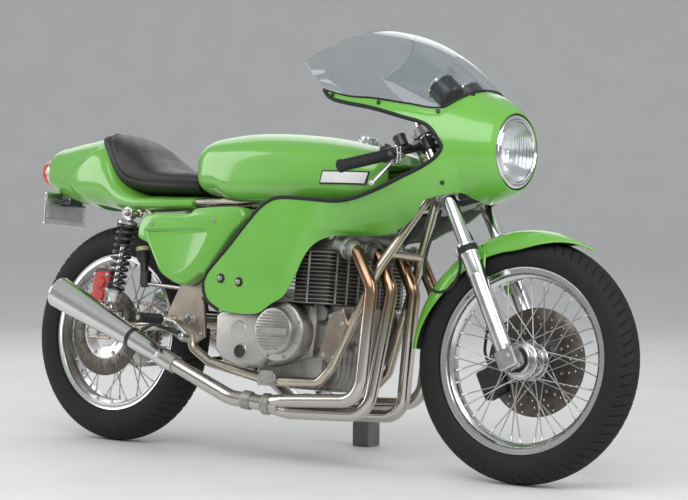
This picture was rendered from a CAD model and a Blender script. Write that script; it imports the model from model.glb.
"""Looks of the cafe racer: camera, light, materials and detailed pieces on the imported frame."""

import math
from math import acos, asin, atan2, cos, pi, radians, sin, tau

import bmesh
import bpy
from mathutils import Matrix, Vector


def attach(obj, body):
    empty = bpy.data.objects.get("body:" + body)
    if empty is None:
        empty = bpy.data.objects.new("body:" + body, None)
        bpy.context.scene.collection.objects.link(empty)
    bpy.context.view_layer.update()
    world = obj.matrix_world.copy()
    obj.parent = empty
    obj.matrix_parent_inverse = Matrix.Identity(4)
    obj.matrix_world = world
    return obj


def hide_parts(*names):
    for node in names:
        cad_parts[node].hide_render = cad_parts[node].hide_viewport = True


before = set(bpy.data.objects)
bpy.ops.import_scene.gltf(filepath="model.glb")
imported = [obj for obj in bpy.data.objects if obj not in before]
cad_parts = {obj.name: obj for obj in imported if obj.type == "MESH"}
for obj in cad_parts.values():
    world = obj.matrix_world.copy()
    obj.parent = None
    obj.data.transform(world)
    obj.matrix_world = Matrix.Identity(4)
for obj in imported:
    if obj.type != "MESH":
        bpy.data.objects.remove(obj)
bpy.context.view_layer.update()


def vec(x, y, z):
    return Vector((x, y, z))


# ---------------------------------------------------------------- frames
# Bike frame, in mm: X forward, Y left, Z up, rear axle over X = 0, upright.
# Steering frame: Z up the steering axis from where it meets the ground.
LEAN, RAKE, REST = radians(6), radians(28), radians(2.8)
WHEELBASE, TRAIL, WHEEL_R, TYRE_SECTION = 1460, 105, 330, 50
ORIGIN_X, ORIGIN_Y = 706, 84.5
SINK = TYRE_SECTION * (1 - cos(LEAN))
BIKE = (Matrix.Scale(0.001, 4) @ Matrix.Translation((-ORIGIN_X, -ORIGIN_Y, SINK))
        @ Matrix.Rotation(-LEAN, 4, "X"))
STEER_X = WHEELBASE + TRAIL
STEER = (BIKE @ Matrix.Translation((STEER_X, 0, 0)) @ Matrix.Rotation(-RAKE, 4, "Y")
         @ Matrix.Rotation(REST, 4, "Z"))
FORK_X = WHEEL_R * sin(RAKE) - TRAIL * cos(RAKE)
AXLE_UP = WHEEL_R * cos(RAKE) + TRAIL * sin(RAKE)
FRONT = STEER @ Matrix.Translation((FORK_X, 0, AXLE_UP))
REAR = BIKE @ Matrix.Translation((0, 0, WHEEL_R))
FORK_W, STANCHION = 100, 19
LOWER_YOKE, UPPER_YOKE = 838, 1025
SLIDER_TOP = AXLE_UP + 305
HEAD_DIR = vec(-sin(RAKE), 0, cos(RAKE))
HEAD_LOW, HEAD_TOP = (vec(STEER_X, 0, 0) + HEAD_DIR * up for up in (859, 1005))
HEAD_MID = HEAD_LOW.lerp(HEAD_TOP, 0.5)
UP, DOWN, LEFT, RIGHT, FORE, AFT = (0, 0, 1), (0, 0, -1), (0, 1, 0), (0, -1, 0), (1, 0, 0), (-1, 0, 0)
PLACES = {"chassis": BIKE, "side_stand": BIKE, "steering": STEER, "front_wheel": FRONT, "rear_wheel": REAR}


def to_steer(p):
    """A point of the bike frame in the steering frame, with the wheel straight."""
    return vec((p[0] - STEER_X) * cos(RAKE) + p[2] * sin(RAKE), p[1],
               -(p[0] - STEER_X) * sin(RAKE) + p[2] * cos(RAKE))


def lerp(a, b, t):
    return a + (b - a) * t


def table(rows):
    """Smooth function through rows of (x, value)."""
    def slope(i):
        a, b = rows[max(i - 1, 0)], rows[min(i + 1, len(rows) - 1)]
        return (b[1] - a[1]) / (b[0] - a[0])

    def at(x):
        i = 0
        while i < len(rows) - 2 and x >= rows[i + 1][0]:
            i += 1
        p, q = rows[i], rows[i + 1]
        w = q[0] - p[0]
        t = min(1, max(0, (x - p[0]) / w))
        return ((2 * t ** 3 - 3 * t ** 2 + 1) * p[1] + (t ** 3 - 2 * t ** 2 + t) * slope(i) * w
                + (3 * t ** 2 - 2 * t ** 3) * q[1] + (t ** 3 - t ** 2) * slope(i + 1) * w)
    return at


def fade(x, a, b):
    """Smooth step from 0 at a to 1 at b."""
    t = min(1, max(0, (x - a) / (b - a)))
    return t * t * (3 - 2 * t)


def signed_power(v, p):
    return math.copysign(abs(v) ** p, v)


def circle(n, phase=0.0):
    """Cosines and sines of n even steps round a circle."""
    return [(cos(tau * (k + phase) / n), sin(tau * (k + phase) / n)) for k in range(n)]


# ---------------------------------------------------------------- materials

def set_inputs(node, values):
    """Sets a node's inputs from their names, with _ for a blank."""
    for name, value in values.items():
        node.inputs[name.replace("_", " ")].default_value = value
    return node


def node_material(name, **inputs):
    m = bpy.data.materials.new(name)
    m.use_nodes = True
    return m, m.node_tree, set_inputs(m.node_tree.nodes["Principled BSDF"], inputs)


def add_node(nt, kind, vector=None, **inputs):
    node = set_inputs(nt.nodes.new("ShaderNode" + kind), inputs)
    if vector:
        nt.links.new(vector, node.inputs["Vector"])
    return node


def drive_color(nt, b, fac, stops):
    """Base colour from a ramp of (position, colour)."""
    ramp = nt.nodes.new("ShaderNodeValToRGB")
    marks = ramp.color_ramp.elements
    for i, (at, color) in enumerate(stops):
        mark = marks[i] if i < 2 else marks.new(at)
        mark.position, mark.color = at, (*color, 1)
    nt.links.new(fac, ramp.inputs["Fac"])
    nt.links.new(ramp.outputs["Color"], b.inputs["Base Color"])


def drive_rough(nt, b, fac, low, high):
    span = add_node(nt, "MapRange", To_Min=low, To_Max=high)
    nt.links.new(fac, span.inputs["Value"])
    nt.links.new(span.outputs["Result"], b.inputs["Roughness"])


def surface(name, color, rough, metallic=0.0, grain=60.0, shade=0.12, rough_var=0.1, bump=0.05,
            bump_scale=None, coat=0.0, coat_rough=0.05, stretch=(1, 1, 1), cells=False, dirt=None, spec=0.5):
    """Procedural surface: colour and roughness vary with a coarse noise, the bump with a fine one."""
    m, nt, b = node_material(name, Metallic=metallic, Coat_Weight=coat, Coat_Roughness=coat_rough,
                             Specular_IOR_Level=spec)
    tc = nt.nodes.new("ShaderNodeTexCoord")
    grid = add_node(nt, "Mapping", tc.outputs["Object"], Scale=stretch).outputs["Vector"]
    coarse = add_node(nt, "TexNoise", grid, Scale=grain, Detail=6).outputs["Fac"]
    dark = dirt or [c * (1 - shade) for c in color]
    drive_color(nt, b, coarse, [(0.3, dark), (0.68, [min(1, c * (1 + shade * 0.6)) for c in color])])
    drive_rough(nt, b, coarse, max(0.02, rough - rough_var), min(1, rough + rough_var))
    if bump:
        scale = bump_scale or grain * 6
        if cells:
            height = add_node(nt, "TexVoronoi", grid, Scale=scale).outputs["Distance"]
        else:
            height = add_node(nt, "TexNoise", grid, Scale=scale, Detail=4).outputs["Fac"]
        relief = add_node(nt, "Bump", Strength=bump, Distance=0.001)
        nt.links.new(height, relief.inputs["Height"])
        nt.links.new(relief.outputs["Normal"], b.inputs["Normal"])
    return m


PAINT = surface("green_paint", (0.155, 0.47, 0.055), 0.30, grain=9, shade=0.05, rough_var=0.04, bump=0.02,
                bump_scale=420, coat=0.9, coat_rough=0.06)
PAINT_IN = surface("shell_inside", (0.045, 0.06, 0.035), 0.65, grain=30, shade=0.3, bump=0.25,
                   bump_scale=300)
NICKEL = surface("nickel_tube", (0.62, 0.56, 0.47), 0.24, 1.0, grain=14, shade=0.14, bump=0.03,
                 bump_scale=240)
CHROME = surface("chrome", (0.78, 0.78, 0.79), 0.09, 1.0, grain=10, shade=0.05, rough_var=0.05, bump=0.0)
MEGA = surface("silencer_chrome", (0.70, 0.69, 0.67), 0.20, 1.0, grain=7, shade=0.08, rough_var=0.07,
               bump=0.03, bump_scale=160, stretch=(0.35, 1, 1))
POLISHED = surface("polished_alloy", (0.70, 0.70, 0.69), 0.22, 1.0, grain=22, shade=0.12, bump=0.05,
                   bump_scale=260)
CAST = surface("cast_alloy", (0.46, 0.45, 0.43), 0.46, 0.95, grain=16, shade=0.2, bump=0.16, bump_scale=420,
               dirt=(0.27, 0.262, 0.25))
FIN = surface("fin_alloy", (0.50, 0.49, 0.465), 0.44, 0.9, grain=20, shade=0.2, bump=0.14, bump_scale=380,
              dirt=(0.30, 0.29, 0.275))
FIN_DARK = surface("fin_shadow", (0.12, 0.115, 0.108), 0.6, 0.7, grain=20, shade=0.3, bump=0.14,
                   bump_scale=380)
STEEL = surface("bare_steel", (0.50, 0.49, 0.47), 0.32, 1.0, grain=30, shade=0.2, bump=0.06, bump_scale=300)
RIM = surface("rim_alloy", (0.74, 0.74, 0.74), 0.17, 1.0, grain=12, shade=0.07, rough_var=0.06, bump=0.02,
              bump_scale=220)
TYRE = surface("tyre_rubber", (0.013, 0.013, 0.014), 0.68, grain=34, shade=0.3, rough_var=0.12, bump=0.18,
               bump_scale=520, spec=0.32)
RUBBER = surface("black_rubber", (0.013, 0.013, 0.014), 0.52, grain=60, shade=0.25, bump=0.15,
                 bump_scale=600, spec=0.4)
BLACK = surface("satin_black", (0.022, 0.022, 0.023), 0.34, grain=40, shade=0.3, bump=0.05, bump_scale=500,
                coat=0.3, coat_rough=0.2)
LEATHER = surface("seat_leather", (0.020, 0.019, 0.019), 0.40, grain=20, shade=0.25, rough_var=0.1,
                  bump=0.35, bump_scale=620, cells=True)
RED = surface("red_paint", (0.55, 0.025, 0.02), 0.34, grain=30, shade=0.15, bump=0.12, bump_scale=500,
              coat=0.4)
BLOCK = surface("painted_block", (0.16, 0.165, 0.17), 0.62, grain=22, shade=0.2, bump=0.2, bump_scale=300)
PLATE = surface("bare_plate", (0.52, 0.52, 0.51), 0.42, 0.7, grain=16, shade=0.14, bump=0.1, bump_scale=200)
SPRING = surface("spring_black", (0.025, 0.025, 0.026), 0.22, grain=30, shade=0.2, bump=0.02, coat=0.6)
DISC = surface("disc_iron", (0.135, 0.118, 0.105), 0.36, 1.0, grain=40, shade=0.25, bump=0.06,
               bump_scale=500)
YELLOWED = surface("reservoir", (0.62, 0.56, 0.33), 0.35, grain=20, shade=0.12, bump=0.02, coat=0.2)
POLISHED_CAST = surface("satin_alloy", (0.52, 0.51, 0.49), 0.40, 1.0, grain=11, shade=0.12, bump=0.07,
                        bump_scale=420, dirt=(0.42, 0.41, 0.395))
LAMP_SILVER = surface("lamp_silver", (0.92, 0.92, 0.93), 0.24, 1.0, grain=20, shade=0.04, rough_var=0.04,
                      bump=0.04, bump_scale=120)
WHITE = surface("dial_white", (0.78, 0.78, 0.76), 0.5, grain=60, shade=0.05, bump=0.02)
PLATES = surface("nickel_plate", (0.43, 0.37, 0.31), 0.34, 0.95, grain=18, shade=0.16, bump=0.06,
                 bump_scale=300)


def header_material():
    """Chrome that has blued and bronzed with heat towards the engine."""
    m, nt, b = node_material("header_chrome", Metallic=1)
    where = nt.nodes.new("ShaderNodeTexCoord").outputs["Object"]
    height = add_node(nt, "SeparateXYZ", where).outputs["Z"]
    noise = add_node(nt, "TexNoise", where, Scale=12, Detail=5).outputs["Fac"]
    ragged = nt.nodes.new("ShaderNodeMath")
    ragged.operation = "MULTIPLY_ADD"
    ragged.inputs[1].default_value = 0.12
    nt.links.new(noise, ragged.inputs[0])
    nt.links.new(height, ragged.inputs[2])
    drive_color(nt, b, ragged.outputs["Value"], [(0.14, (0.60, 0.58, 0.55)), (0.42, (0.56, 0.52, 0.47)),
                                                 (0.56, (0.40, 0.27, 0.17)), (0.66, (0.20, 0.12, 0.08))])
    drive_rough(nt, b, noise, 0.10, 0.30)
    return m


HEADER = header_material()


def clear_material(name, color, rough, ior):
    m, nt, b = node_material(name, Base_Color=(*color, 1), Transmission_Weight=1, IOR=ior)
    where = nt.nodes.new("ShaderNodeTexCoord").outputs["Object"]
    drive_rough(nt, b, add_node(nt, "TexNoise", where, Scale=5).outputs["Fac"], rough, rough + 0.03)
    return m


SCREEN = clear_material("clear_screen", (0.80, 0.84, 0.86), 0.01, 1.42)
LENS = clear_material("lamp_glass", (0.92, 0.94, 0.95), 0.02, 1.48)
CLEAR_EDGE = clear_material("clear_edge", (0.62, 0.68, 0.70), 0.05, 1.45)
RED_LENS = surface("red_lens", (0.62, 0.025, 0.02), 0.16, grain=20, shade=0.2, bump=0.15, bump_scale=900,
                   coat=0.8, cells=True)

# ---------------------------------------------------------------- mesh tools


def link(name, data):
    ob = bpy.data.objects.new(name, data)
    bpy.context.scene.collection.objects.link(ob)
    return ob


def mesh_object(name, verts, faces, place=BIKE, materials=(), face_slots=None):
    """Object with points in mm in the given frame, its faces turned outwards."""
    me = bpy.data.meshes.new(name)
    me.from_pydata([place @ Vector(v) for v in verts], [], faces)
    for m in materials:
        me.materials.append(m)
    if face_slots:
        me.polygons.foreach_set("material_index", face_slots)
    me.validate()
    bm = bmesh.new()
    bm.from_mesh(me)
    bmesh.ops.recalc_face_normals(bm, faces=bm.faces)
    bm.to_mesh(me)
    bm.free()
    return link(name, me)


def piece(name, verts, faces, material, body="chassis", place=None, replaces=None, smooth=35, materials=(),
          face_slots=None):
    """Piece that rides on a body, with hard edges where faces meet above the angle smooth."""
    ob = mesh_object(name, verts, faces, place or PLACES[body], [material, *materials], face_slots)
    ob.data.polygons.foreach_set("use_smooth", [True] * len(ob.data.polygons))
    if smooth:
        ob.data.set_sharp_from_angle(angle=radians(smooth))
    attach(ob, body)
    if replaces:
        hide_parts(replaces)
    return ob


def inset(outline, d):
    """Closed outline of (x, z) moved inwards by d."""
    n = len(outline)
    pts = [Vector((p[0], p[1])) for p in outline]
    area = sum(pts[i].x * pts[(i + 1) % n].y - pts[(i + 1) % n].x * pts[i].y for i in range(n))
    out = []
    for i in range(n):
        e1, e2 = (pts[i] - pts[i - 1]).normalized(), (pts[(i + 1) % n] - pts[i]).normalized()
        n1, n2 = Vector((-e1.y, e1.x)), Vector((-e2.y, e2.x))
        out.append(pts[i] + (n1 + n2) / max(0.3, 1 + n1.dot(n2)) * math.copysign(d, area))
    return out


def smooth_line(points, steps=6, closed=False):
    """Curve through points, as a Catmull-Rom spline."""
    pts = [Vector(p) for p in points]
    n = len(pts)
    out = []
    for i in range(n if closed else n - 1):
        get = (lambda k: pts[k % n]) if closed else (lambda k: pts[min(max(k, 0), n - 1)])
        a, b, c, d = get(i - 1), get(i), get(i + 1), get(i + 2)
        for s in range(steps):
            t = s / steps
            out.append(0.5 * (2 * b + (c - a) * t + (2 * a - 5 * b + 4 * c - d) * t * t
                              + (3 * b - a - 3 * c + d) * t ** 3))
    if not closed:
        out.append(pts[-1])
    return out


class Build:
    """Collects simple solids, in mm, into one piece."""

    def __init__(self):
        self.v, self.f, self.s, self.slot = [], [], [], 0

    def add(self, verts, faces):
        k = len(self.v)
        self.v += [Vector(p) for p in verts]
        self.f += [tuple(i + k for i in f) for f in faces]
        self.s += [self.slot] * len(faces)
        return self

    def mirrored(self):
        """Adds the same again on the other side of the middle plane."""
        k = len(self.v)
        self.v += [vec(p[0], -p[1], p[2]) for p in self.v]
        self.f += [tuple(i + k for i in reversed(f)) for f in self.f]
        self.s += list(self.s)
        return self

    def rings(self, rings, caps=True, closed=False):
        n = len(rings[0])
        verts = [p for r in rings for p in r]
        faces = []
        count = len(rings)
        for i in range(count if closed else count - 1):
            for j in range(n):
                a, b = i * n + j, ((i + 1) % count) * n + j
                c, d = ((i + 1) % count) * n + (j + 1) % n, i * n + (j + 1) % n
                faces.append((a, b, c, d))
        if caps and not closed:
            faces.append(tuple(range(n)))
            faces.append(tuple(range((count - 1) * n + n - 1, (count - 1) * n - 1, -1)))
        return self.add(verts, faces)

    def lathe(self, profile, p, d, n=40, caps=True):
        """Round body: profile of (along, radius) from p along d."""
        p, d = Vector(p), Vector(d).normalized()
        u = d.orthogonal().normalized()
        w = d.cross(u)
        rings = [[p + d * t + (u * c + w * s) * max(r, 0.01) for c, s in circle(n)] for t, r in profile]
        return self.rings(rings, caps)

    def rod(self, p, q, r, r2=None, n=24, edge=0.0):
        d = Vector(q) - Vector(p)
        length = d.length
        r2 = r if r2 is None else r2
        e = min(edge, length / 3)
        prof = ([(0, r - e), (e, r), (length - e, r2), (length, r2 - e)] if e else [(0, r), (length, r2)])
        return self.lathe(prof, p, d, n)

    def bolt(self, p, d, r, h, washer=0.0):
        """Hexagon head with a washer, standing on p along d."""
        p, d = Vector(p), Vector(d).normalized()
        if washer:
            self.lathe([(-0.6, r + washer), (1.2, r + washer), (1.5, r + washer - 0.4)], p, d, 20)
        self.lathe([(0, r), (h * 0.8, r), (h, r * 0.82)], p, d, 6)
        return self

    def screw(self, p, d, r, h=3.0):
        """Domed round screw with a socket."""
        self.lathe([(-0.6, r), (h * 0.5, r), (h * 0.85, r * 0.86), (h, r * 0.55), (h * 0.45, r * 0.5),
                    (h * 0.4, 0.01)], p, d, 16)
        return self

    def box(self, lo, hi, edge=1.0):
        """Box with its edges broken by a chamfer."""
        lo, hi = Vector(lo), Vector(hi)
        e = min(edge, *(abs(hi[i] - lo[i]) / 3 for i in range(3)))
        rings = []
        for z, k in ((lo.z, e), (lo.z + e, 0), (hi.z - e, 0), (hi.z, e)):
            x0, x1, y0, y1 = lo.x + k, hi.x - k, lo.y + k, hi.y - k
            rings.append([(x0 + e, y0, z), (x1 - e, y0, z), (x1, y0 + e, z), (x1, y1 - e, z),
                          (x1 - e, y1, z), (x0 + e, y1, z), (x0, y1 - e, z), (x0, y0 + e, z)])
        return self.rings([[Vector(p) for p in r[::-1]] for r in rings])

    def stack(self, outline, steps, caps=True, level=False):
        """Outline of (x, z), moved in by d at each y; a level one is of (x, y), at each z."""
        return self.rings([[vec(p[0], at, p[1]) if not level else vec(p[0], p[1], at)
                            for p in inset(outline, d)] for at, d in steps], caps)

    def plate(self, outline, y0, y1, edge=1.2):
        """Plate with an outline of (x, z) between y0 and y1, its edges broken."""
        return self.stack(outline, ((y0, edge), (y0 + edge, 0), (y1 - edge, 0), (y1, edge)))

    def bolts(self, places, y, r, h, washer=0.0):
        """Bolts at places of (x, z) on a face at y, pointing outwards."""
        for x, z in places:
            self.bolt((x, y, z), (0, y, 0), r, h, washer)
        return self

    def tube(self, points, r, bend=30.0, n=18, steps=7, radii=None, caps=True):
        return self.rings(sweep(route(points, bend, steps), r, n, radii), caps)

    def spiral(self, p, q, r, wire, turns, n=10, per=22, flat=0.6):
        """Coil spring from p to q with closed ends."""
        p, q = Vector(p), Vector(q)
        d = (q - p).normalized()
        u = d.orthogonal().normalized()
        w = d.cross(u)
        length = (q - p).length
        path = []
        total = int(turns * per)
        for k in range(total + 1):
            a = tau * k / per
            t = k / total
            s = min(1, max(0, (t - flat / turns) / (1 - 2 * flat / turns)))
            path.append(p + d * (wire + (length - 2 * wire) * s) + (u * cos(a) + w * sin(a)) * r)
        return self.rings(sweep(path, wire, n))

    def make(self, name, material, body="chassis", **kw):
        return piece(name, self.v, self.f, material, body, face_slots=self.s if any(self.s) else None, **kw)

    def cutter(self, name, place=BIKE):
        return mesh_object(name, self.v, self.f, place)


def route(points, bend, steps=7):
    """Path along straight runs with each corner bent to a radius."""
    pts = [Vector(p) for p in points]
    out = [pts[0]]
    for i in range(1, len(pts) - 1):
        u, v = (pts[i] - pts[i - 1]), (pts[i + 1] - pts[i])
        room = min(u.length, v.length) * 0.49
        u.normalize()
        v.normalize()
        turn = acos(max(-1, min(1, u.dot(v))))
        if turn < 0.01:
            out.append(pts[i])
            continue
        b = min(bend, room / math.tan(turn / 2))
        side = (v - u * u.dot(v)).normalized()
        c = pts[i] - u * b * math.tan(turn / 2) + side * b
        out += [c + (u * sin(turn * s / steps) - side * cos(turn * s / steps)) * b for s in range(steps + 1)]
    out.append(pts[-1])
    return out


def sweep(path, r, n=18, radii=None):
    """Rings of a tube along a path."""
    out = []
    normal = None
    for i, p in enumerate(path):
        t = Vector()
        if i > 0:
            t += (path[i] - path[i - 1]).normalized()
        if i < len(path) - 1:
            t += (path[i + 1] - path[i]).normalized()
        t.normalize()
        normal = t.orthogonal() if normal is None else normal - t * normal.dot(t)
        normal.normalize()
        b = t.cross(normal)
        k = radii[i] if radii else r
        out.append([p + (normal * c + b * s) * k for c, s in circle(n)])
    return out


def sheet_mesh(outer, inner):
    """Vertices, faces and material slots of a thin sheet between two grids of points."""
    rows, n = len(outer), len(outer[0])
    base = rows * n
    verts = [p for r in outer for p in r] + [p for r in inner for p in r]
    faces, slots = [], []
    for i in range(rows - 1):
        for j in range(n - 1):
            a = i * n + j
            faces.append((a, a + n, a + n + 1, a + 1))
            slots.append(0)
            faces.append((base + a, base + a + 1, base + a + n + 1, base + a + n))
            slots.append(1)
    far = (rows - 1) * n
    border = ([((i + 1) * n, i * n) for i in range(rows - 1)]
              + [(far + j + 1, far + j) for j in range(n - 1)] + [(i * n + n - 1, (i + 1) * n + n - 1)
                                                                  for i in range(rows - 1)]
              + [(j, j + 1) for j in range(n - 1)])
    for a, b in border:
        faces.append((a, b, b + base, a + base))
        slots.append(0)
    return verts, faces, slots


def both(verts, faces, slots):
    """The same mesh and its mirror image on the other side."""
    k = len(verts)
    verts = [Vector(p) for p in verts]
    return (verts + [vec(p.x, -p.y, p.z) for p in verts],
            faces + [tuple(i + k for i in reversed(f)) for f in faces], slots + slots)


# ---------------------------------------------------------------- fairing
NOSE_Z, SHELL = 893, 4
fair_w = table([(480, 238), (600, 243), (700, 245), (1000, 245), (1050, 242), (1100, 234), (1148, 224),
                (1185, 212), (1240, 188), (1270, 172), (1300, 157), (1325, 146), (1350, 134), (1372, 120),
                (1385, 108)])
fair_up = table([(480, 250), (1000, 250), (1100, 240), (1185, 214), (1240, 192), (1270, 178), (1300, 163),
                 (1325, 151), (1350, 138), (1372, 122), (1385, 108)])
fair_down = table([(480, 1200), (800, 1200), (850, 800), (870, 640), (906, 416), (968, 313), (1050, 273),
                   (1103, 247), (1148, 235), (1185, 222), (1243, 192), (1290, 151), (1325, 138), (1350, 128),
                   (1372, 118), (1385, 108)])
fair_low = table([(497, 472), (511, 440), (548, 416), (591, 409), (650, 406), (710, 411), (757, 440),
                  (786, 455), (807, 481), (827, 519), (846, 565), (872, 604), (906, 628), (968, 638),
                  (1050, 649), (1103, 674), (1148, 698), (1170, 716), (1185, 735), (1200, 746), (1243, 760),
                  (1268, 768), (1290, 767), (1300, 752), (1308, 744)])
WING = [(497, 490), (511, 516), (535, 541), (592, 595), (647, 653), (697, 703)]
sill = table([(740, 1062), (860, 1044), (960, 1022), (1049, 1014), (1150, 1000), (1240, 992), (1268, 1022),
              (1286, 1047), (1302, 1056)])
fair_x = [497, 502, 511, 528, 548, 570, 591, 620, 650, 697, 740, 760, 786, 807, 827, 846, 860, 872, 906, 935,
          968, 1010, 1050, 1103, 1148, 1185, 1215, 1240, 1255, 1268, 1286, 1302, 1325, 1350, 1372, 1385]
CUT = [(738, 728), (781, 736), (870, 733), (945, 731), (1001, 741), (1060, 760), (1120, 786), (1194, 822),
       (1236, 851), (1256, 878), (1252, 900), (1214, 944), (1142, 965), (1049, 988), (960, 1003),
       (900, 1018), (862, 1044)]


def fair_angle(x, z):
    reach = fair_up(x) if z > NOSE_Z else fair_down(x)
    return asin(max(-1, min(1, (z - NOSE_Z) / reach)))


def fair_range(x):
    """Angles of the skin's upper and lower edge at x."""
    if x > 1300:
        return pi / 2, -pi / 2
    return fair_angle(x, sill(x)), fair_angle(x, fair_low(x))


def fair_point(x, a, t=0.0):
    reach = fair_up(x) if a > 0 else fair_down(x)
    return vec(x, -(fair_w(x) - t) * cos(a), NOSE_Z + (reach - t) * sin(a))


def on_fairing(x, z, out=0.0):
    """Point of the right-hand skin at x and z."""
    return fair_point(x, fair_angle(x, z), -out)


def fair_normal(x, z):
    p = on_fairing(x, z)
    n = (on_fairing(x + 3, z) - p).cross(on_fairing(x, z + 3) - p).normalized()
    return n if n.y < 0 else -n


def refined(xs, k):
    return [lerp(a, b, i / k) for a, b in zip(xs, xs[1:]) for i in range(k)] + [xs[-1]]


def fair_column(x, thick):
    """Points down the skin at x, close together at both edges for their joggle and fold."""
    top, low = fair_range(x)
    span = (top - low) * fair_w(x)
    near = [0, 5, 10, 14, 17, 20, 23, 26, 30, 36, 46]
    ends = [0, 4, 8, 12, 16, 20, 23, 26, 30, 40]
    k = min(1, span / 160)
    head = [d * k for d in near]
    foot = [span - d * k for d in ends[::-1]]
    mid = [lerp(head[-1], foot[0], i / 30) for i in range(1, 30)]
    out = []
    for d in head + mid + foot:
        a = lerp(top, low, d / span)
        t = thick
        # A joggle below the screen's flange, and a fold along the wing's leading edge
        if 850 < x < 1300:
            t += 1.6 * (1 - fade(d, 17, 23)) * fade(x, 850, 880)
        up = span - d
        t += 9 * (1 - fade(up, 0, 24)) * fade(x, 770, 800) * (1 - fade(x, 930, 1060))
        # A long soft crease from the wing up to the nose
        z = NOSE_Z + fair_down(x) * sin(a)
        t += 2.0 * (1 - fade(abs(z - lerp(690, 800, (x - 880) / 380)), 0, 30)) * fade(x, 880, 980) \
            * (1 - fade(x, 1180, 1280))
        out.append(fair_point(x, a, t))
    return out


def prism(name, outline, y0, y1):
    """Cutter with an outline of (x, z) between y0 and y1."""
    n = len(outline)
    sides = [(i, (i + 1) % n, (i + 1) % n + n, i + n) for i in range(n)]
    return mesh_object(name, [(x, y, z) for y in (y0, y1) for x, z in outline],
                       [tuple(range(n)), tuple(range(2 * n - 1, n - 1, -1))] + sides)


def carve(ob, cutters):
    """Cuts solids out of a piece, and leaves it a plain mesh."""
    for c in cutters:
        mod = ob.modifiers.new("Cut", "BOOLEAN")
        mod.object, mod.operation, mod.solver = c, "DIFFERENCE", "EXACT"
    bpy.context.view_layer.update()
    me = bpy.data.meshes.new_from_object(ob.evaluated_get(bpy.context.evaluated_depsgraph_get()))
    ob.modifiers.clear()
    ob.data = me
    for c in cutters:
        bpy.data.objects.remove(c)
    me.set_sharp_from_angle(angle=radians(40))


def seam_free(verts, faces, slots):
    """Mirrored halves joined along the middle: faces lying in the middle plane are left out."""
    keep = [(f, s) for f, s in zip(faces, slots) if any(abs(verts[i].y) > 0.02 for i in f)]
    bm = bmesh.new()
    vs = [bm.verts.new(v) for v in verts]
    for f, s in keep:
        face = bm.faces.new([vs[i] for i in f])
        face.material_index = s
    bmesh.ops.remove_doubles(bm, verts=bm.verts, dist=0.05)
    bm.verts.index_update()
    v = [p.co.copy() for p in bm.verts]
    f = [tuple(p.index for p in face.verts) for face in bm.faces]
    s = [face.material_index for face in bm.faces]
    bm.free()
    return v, f, s


def make_fairing():
    xs = refined(fair_x, 3)
    grids = [[fair_column(x, t) for x in xs] for t in (0, SHELL)]
    v, f, s = seam_free(*both(*sheet_mesh(*grids)))
    ob = piece("fairing_shell", v, f, PAINT, replaces="fairing", materials=[PAINT_IN], face_slots=s)
    lower = smooth_line([(482, 476)] + WING + CUT, 4)
    outline = [(p.x, p.y) for p in lower] + [(846, 1130), (482, 1130)]
    carve(ob, [prism("cut_right", outline, -300, -60), prism("cut_left", outline, 60, 300)])
    # Rubber edging along the wing's rear edge and round the hand opening
    line = smooth_line(WING + CUT, 5)
    start = [on_fairing(x, z, -1.5) for x, z in ((560, 412), (530, 426), (511, 441), (500, 464))]
    path = smooth_line(start, 4) + [on_fairing(p.x, p.y, -1.5) for p in line]
    Build().rings(sweep(path, 5.6, 12)).mirrored().make("fairing_edging", RUBBER)
    # Studs of the wing on black washers, screws of the screen and the nose
    washers, studs = Build(), Build()
    for x, z in ((567, 503), (636, 495)):
        p, n = on_fairing(x, z), fair_normal(x, z)
        washers.lathe([(-1, 13.5), (2, 13.5), (3.2, 12.2), (3.2, 6)], p, n, 28)
        studs.lathe([(2, 8), (5.5, 8), (8, 6.4), (9, 3), (8.2, 2.6), (8.2, 0.01)], p, n, 24)
    washers.mirrored().make("wing_washers", RUBBER)
    studs.mirrored().make("wing_studs", STEEL)
    screws = Build()
    for x, z in ((902, 1026), (1067, 1003), (1234, 983)):
        screws.screw(on_fairing(x, z), fair_normal(x, z), 6.0, 4)
    screws.screw(fair_point(1286, fair_range(1286)[0] - 0.10), (0.45, -0.45, 0.8), 6.0, 4)
    screws.screw(on_fairing(1252, 792), fair_normal(1252, 792), 6.5, 3.5)
    screws.mirrored().make("fairing_screws", BLACK)


# ---------------------------------------------------------------- windscreen
sill_x = [1302, 1294, 1286, 1276, 1262, 1240, 1200, 1150, 1100, 1049, 1000, 960, 900, 868]
SCREEN_TOP, SCREEN_TIP = 1232, (781, -184, 1126)


def sill_at(t):
    k = t * (len(sill_x) - 1)
    i = min(int(k), len(sill_x) - 2)
    return lerp(sill_x[i], sill_x[i + 1], k - i)


def screen_point(t, u, depth=0.0):
    """Point of the screen: t round from the nose to the tip, u up from the sill to the edge."""
    a = pi / 2 * t
    x = sill_at(t)
    out = vec(0.35 * cos(a), -sin(a), 0.9 * cos(a) + 0.15).normalized()
    b = fair_point(x, pi / 2 if x > 1300 else fair_angle(x, sill(x))) + vec(0, 0, 0.3 + (SHELL + 1.6)
                                                                            * out.z)
    e = vec(lerp(968, SCREEN_TIP[0], 1 - max(0, cos(a)) ** 0.9), SCREEN_TIP[1] * sin(a) ** 0.9,
            lerp(SCREEN_TIP[2], SCREEN_TOP, max(0, cos(a)) ** 0.9))
    p = b.lerp(e, u) + out * (lerp(34, 12, t) * 4 * u * (1 - u) - depth)
    if t == 0:
        p.y = 0
    return p


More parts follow.
